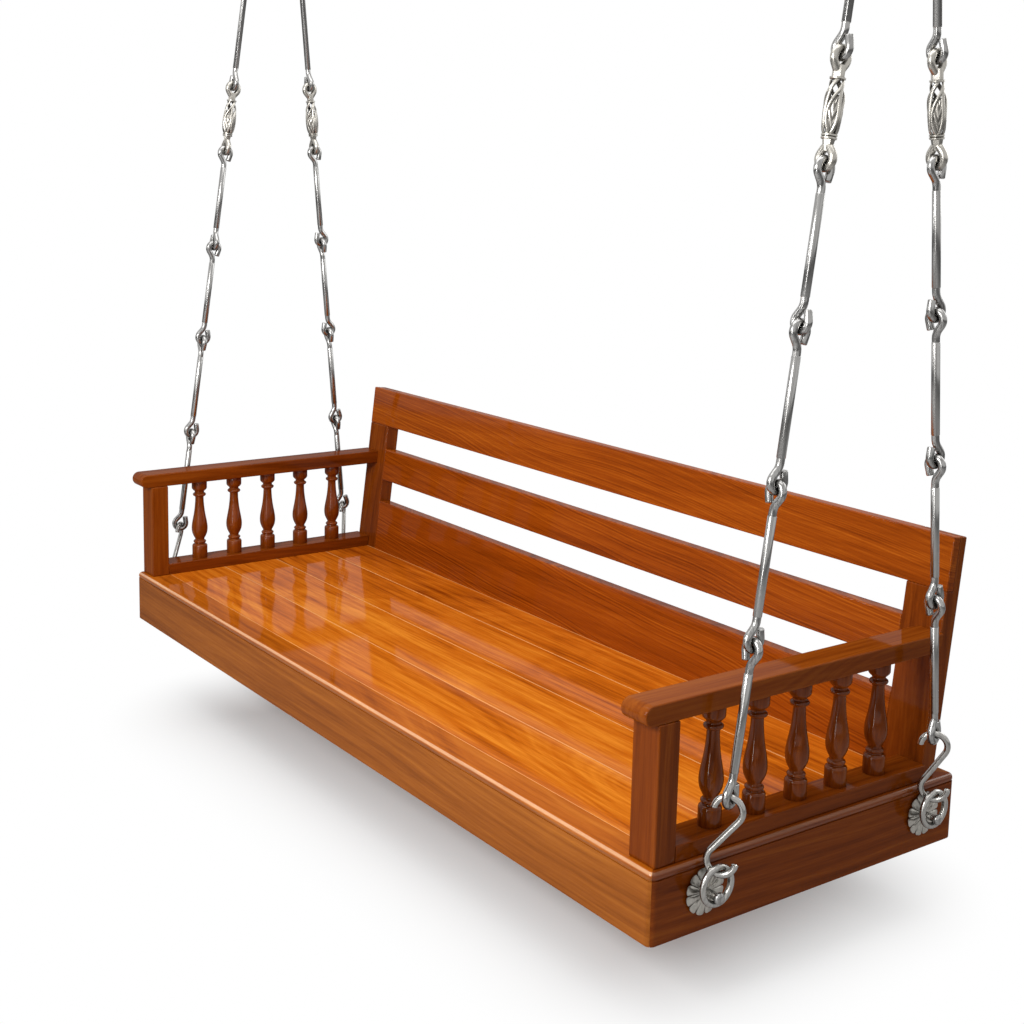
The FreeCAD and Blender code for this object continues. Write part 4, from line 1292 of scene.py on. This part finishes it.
    def add_sheet(
        self, mesh: BMesh, cells: Tuple[int, int],
        shape: Callable[[float, float], Tuple[Vector, float]],
    ) -> None:
        """Add a thick bent sheet of metal.

        Args:
            mesh: the mesh that grows.
            cells: counts of cells across and up the sheet.
            shape: gives the place, and the tarnish with painted shade, at a share across (-1 to 1)
                and up (0 to 1).
        """
        tarnish_and_shade = mesh.verts.layers.float["tarnish_and_shade"]
        made = bmesh.ops.create_grid(mesh, x_segments=cells[0], y_segments=cells[1], size=0.5)
        for vert in made["verts"]:
            vert.co, vert[tarnish_and_shade] = shape(vert.co.x * 2.0, vert.co.y + 0.5)
        faces = list({face for vert in made["verts"] for face in vert.link_faces})
        bmesh.ops.recalc_face_normals(mesh, faces=faces)
        bmesh.ops.solidify(mesh, geom=faces, thickness=self.sheet)

    def leaf(self, mesh: BMesh, cage: Pair, turn: float) -> None:
        """Add one veined leaf, pointed at both ends."""

        def shape(wide: float, rise: float) -> Tuple[Vector, float]:
            """Place, and tarnish with painted shade, on the leaf."""
            share = rise * self.leaf_top
            half = self.almond(share) * (1.0 - 0.75 * rise**5)
            vein = 0.5 - 0.5 * math.cos(math.tau * (rise * 3.0 - abs(wide - 0.2) * 1.4))
            fade = min(1.0, (1.0 - abs(wide)) * 5.0)
            out = self.leaf_relief * vein * fade - self.leaf_relief
            place = self.cage_point(cage, turn + wide * half, share, out)
            # Tarnish with painted shade between the raised veins and along the leaf's edges
            return place, 0.8 * (1.0 - vein * fade)

        self.add_sheet(mesh, self.leaf_cells, shape)

    def strap(self, mesh: BMesh, cage: Pair, turn: float, edge: int) -> None:
        """Add one side of the smooth frame round a leaf, from collar to collar."""

        def shape(wide: float, rise: float) -> Tuple[Vector, float]:
            """Place, and tarnish with painted shade, on the strap."""
            half = math.degrees(self.strap_half / self.cage_radius(rise))
            out = self.strap_relief * (1.0 - wide * wide)
            angle = turn + edge * self.almond(rise) + wide * half
            # Tarnish with painted shade along the strap's edges
            return self.cage_point(cage, angle, rise, out), 0.6 * wide**4

        self.add_sheet(mesh, self.strap_cells, shape)

    def build(self) -> None:
        """Build and dress the whole chain."""
        self.ring_link()
        self.s_hook()
        self.rods()
        self.cast_link()
        self.upper_rod()


@dataclass
class CeilingSet:
    """Triangular link, forged hook and plate above one end of the seat."""

    side: Side
    chain_x: float = 0.937
    hook_drop: float = 0.098
    link_wire: float = 0.014
    link_height: float = 0.085
    link_half: float = 0.028
    link_corner: float = 0.014
    clearance: float = 0.0003
    hook_wire: float = 0.016
    hook_bend: float = 0.014
    hook_half: float = 0.010
    hook_shank: float = 0.024
    shank_bend: float = 0.016
    hook_tip: float = 0.034
    plate: float = 0.006
    weld: Sequence[Pair] = ((-0.006, 0.0080), (-0.003, 0.0088), (-0.0012, 0.0108), (0.0004, 0.0135))

    def delta_link(self) -> None:
        """Triangular link with rounded corners."""
        apex = (self.hook_wire + self.link_wire) / 2 + self.clearance
        corner, half, height = self.link_corner, self.link_half, self.link_height
        centre = (half, corner - height)
        heading = math.degrees(math.atan2(centre[1], centre[0]))
        side_turn = heading + math.degrees(math.acos((apex - corner) / math.hypot(*centre)))
        right = bend(centre, corner, -90.0, (side_turn + 90.0) / 2, 2)
        top = bend((0.0, 0.0), apex, side_turn, (180.0 - 2 * side_turn) / 3, 3)
        left = [(-across, up) for across, up in reversed(right)]
        bends = ((right, corner), (top, apex), (left, corner))
        above = Vector((self.side.value * self.chain_x, 0.0, -self.hook_drop))
        route = [(in_plane(pair, 90.0) + above, size) for pairs, size in bends for pair in pairs]
        mesh = bmesh.new()
        BentWire(self.link_wire, sides=24, arc_step=8.0).lay(mesh, route, closed=True)
        FORGED_STEEL.dress(f"{self.side.label}_delta_link", "bent", mesh, Body.HANGERS)

    def hook(self) -> None:
        """Forged hook with an upturned, rounded tip."""
        radius, half, drop = self.hook_bend, self.hook_half, -self.hook_drop
        side = half + radius
        top = -self.plate
        shoulder = top - self.hook_shank
        pairs = [((0.0, top), 0.0), ((0.0, shoulder), self.shank_bend)]
        pairs += [((-side, shoulder - side), self.shank_bend)]
        for across, first in ((-half, 180.0), (half, -90.0)):
            corners = bend((across, drop + radius), radius, first, 45.0, 2)
            pairs += [(corner, radius) for corner in corners]
        pairs += [((side, drop + self.hook_tip), 0.0)]
        sign = self.side.value
        above = Vector((sign * self.chain_x, 0.0, 0.0))
        route = [(in_plane(pair, 0.0, sign) + above, bend_radius) for pair, bend_radius in pairs]
        mesh = bmesh.new()
        BentWire(self.hook_wire, sides=24, arc_step=8.0).lay(mesh, route)
        profile = [(top + rise, wide) for rise, wide in self.weld]
        turning(mesh, profile, Matrix.Translation(above), sides=32)
        FORGED_STEEL.dress(f"{self.side.label}_ceiling_hook", "forged", mesh, Body.CEILING)

    def build(self) -> None:
        """Build and dress the set; the plate keeps its own node."""
        self.delta_link()
        self.hook()


def dress_nodes() -> None:
    """Give the nodes that stay as they are their finishes."""
    steels = {
        "stud_washers": FIXING_STEEL,
        "stud_nuts": FIXING_STEEL,
        "left_ceiling_plate": FORGED_STEEL,
        "right_ceiling_plate": FORGED_STEEL,
    }
    finishes = {node: steel.material(f"{node}_metal") for node, steel in steels.items()}
    bearers = "plank_bearers"
    finishes[bearers] = BEARER_WOOD.material(f"{bearers}_wood", Grain.ALONG_Y, 90)
    for node, finish in finishes.items():
        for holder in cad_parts[node].material_slots:
            holder.material = finish
        log.info("%s: dressed node", node)


# Studio


@dataclass
class PhotoCamera:
    """Camera at the place and angle from which the swing was photographed."""

    place: Triple = (2.389, -1.704, -1.111)
    tilt: float = 81.15
    heading: float = 53.67
    roll: float = 1.359
    lens: float = 53.69
    sensor: float = 36.0
    shift: Pair = (-0.0117, -0.1127)
    far_clip: float = 60.0

    def build(self) -> None:
        """Create the camera and look through it."""
        data = bpy.data.cameras.new("photo_camera")
        data.sensor_width = self.sensor
        data.lens = self.lens
        data.shift_x, data.shift_y = self.shift
        data.clip_end = self.far_clip
        camera = add_object("photo_camera", data)
        turn = turn_about("Z", self.heading) @ turn_about("X", self.tilt)
        camera.matrix_world = Matrix.Translation(self.place) @ turn @ turn_about("Z", self.roll)
        bpy.context.scene.camera = camera


@dataclass(frozen=True)
class Lamp:
    """One soft box, given by its place, the point it faces, its size and its watts."""

    name: str
    place: Triple
    aim: Triple
    size: Pair
    power: float
    glint: bool = False

    def build(self) -> None:
        """Set up the lamp; a glint only shows in glossy surfaces."""
        data = bpy.data.lights.new(self.name, "AREA")
        data.shape = "RECTANGLE"
        data.size, data.size_y = self.size
        data.energy = self.power
        lamp = add_object(self.name, data)
        lamp.matrix_world = facing(self.place, Vector(self.aim) - Vector(self.place), "-Z")
        lamp.visible_diffuse = not self.glint


@dataclass
class Studio:
    """Pale floor, white surroundings and soft lamps."""

    floor_z: float = -2.32
    floor_half: float = 14.0
    floor_tone: float = 0.70
    shadow_half: Triple = (0.60, 0.17, 1.0)
    shadow_place: Triple = (-0.085, 0.07, 2.32)
    shadow_turn: float = -0.05
    shadow_share: float = 0.84
    shadow_reach: Pair = (-0.05, 0.36)
    ambient: float = 0.22
    lamps: Sequence[Lamp] = (
        Lamp("top_box", (0.3, -0.25, 0.7), (0.1, -0.1, -2.0), (2.8, 2.2), 48.0),
        Lamp("front_box", (0.9, -2.6, -0.4), (0.1, -0.2, -2.1), (1.1, 0.8), 60.0),
        Lamp("glint_box", (-0.9, -3.0, -0.9), (-0.1, 0.0, -2.0), (0.2, 0.8), 7.0),
        Lamp("rear_box", (0.6, 3.4, -0.2), (0.0, 0.2, -2.0), (2.0, 1.4), 26.0),
        Lamp("rod_glint", (1.7, -3.0, -1.3), (0.5, -0.2, -1.3), (0.22, 2.0), 20.0, glint=True),
    )

    def floor(self) -> None:
        """Pale floor that keeps the shadow and fades to white for the camera."""
        mesh = bmesh.new()
        spot = Matrix.Translation((0.0, 0.0, self.floor_z))
        bmesh.ops.create_grid(mesh, x_segments=1, y_segments=1, size=self.floor_half, matrix=spot)
        finish = bpy.data.materials.new("studio_floor_paint")
        bench = Bench(finish)
        spread = bench.own_place((0.0, 0.0, self.shadow_turn), self.shadow_place)
        steps = (("ABSOLUTE", {}), ("SUBTRACT", {1: self.shadow_half}), ("MAXIMUM", {1: ZERO}))
        for operation, sockets in steps:
            sockets[0] = spread
            spread = bench.add("ShaderNodeVectorMath", sockets, operation=operation)
        away = bench.add("ShaderNodeVectorMath", {0: spread}, "Value", operation="LENGTH")
        seen = bench.add("ShaderNodeLightPath", output="Is Camera Ray")
        faded = away.between(*self.shadow_reach) * self.shadow_share + (1.0 - self.shadow_share)
        tone = self.floor_tone
        paint = bench.add("ShaderNodeBsdfDiffuse", {"Color": (tone, tone, tone, 1.0)})
        white = bench.add("ShaderNodeEmission", {"Color": WHITE, "Strength": 1.0})
        shader = bench.add("ShaderNodeMixShader", {0: faded * seen, 1: paint, 2: white})
        bench.add("ShaderNodeOutputMaterial", {"Surface": shader})
        floor = add_mesh("studio_floor", mesh, finish)

    def surroundings(self) -> None:
        """World that is white to the camera and in reflections, and softer as light."""
        world = bpy.data.worlds.new("studio_world")
        bpy.context.scene.world = world
        bench = Bench(world)
        seen, mirrored, through = (
            bench.add("ShaderNodeLightPath", output=f"Is {ray} Ray")
            for ray in ("Camera", "Glossy", "Transmission")
        )
        shown = seen.maths("MAXIMUM", mirrored).maths("MAXIMUM", through)
        strength = shown * (1.0 - self.ambient) + self.ambient
        sockets = {"Color": WHITE, "Strength": strength}
        light = bench.add("ShaderNodeBackground", sockets)
        bench.add("ShaderNodeOutputWorld", {"Surface": light})

    def build(self) -> None:
        """Set up the whole studio."""
        self.floor()
        self.surroundings()
        for lamp in self.lamps:
            lamp.build()


FRONT_STUD_Y, FRONT_BAR_Y = -0.282, -0.009
REAR_STUD_Y, REAR_BAR_Y = 0.189, 0.009
FRONT_EYE_TURNS = ((107, 180), (90, 180), (90, 90), (0, 90))
REAR_EYE_TURNS = ((107, 180), (90, 180), (270, 180), (270, 90))


def main() -> None:
    """Build every piece in order, then the camera and the studio."""
    logging.basicConfig(level=logging.INFO, format="%(name)s %(message)s")
    PhotoCamera().build()
    back = SeatBack()
    SeatFrame().build()
    SeatDeck(back.foot_y).build()
    back.build()
    for side in Side:
        front, rear = f"front_{side.label}", f"rear_{side.label}"
        Arm(side, back).build()
        Stud(front, side).build()
        Stud(rear, side).build()
        Chain(front, side, FRONT_STUD_Y, FRONT_BAR_Y, FRONT_EYE_TURNS).build()
        Chain(rear, side, REAR_STUD_Y, REAR_BAR_Y, REAR_EYE_TURNS).build()
        CeilingSet(side).build()
    dress_nodes()
    Studio().build()
    bpy.context.scene.view_settings.view_transform = "Standard"


if __name__ == "__main__":
    main()
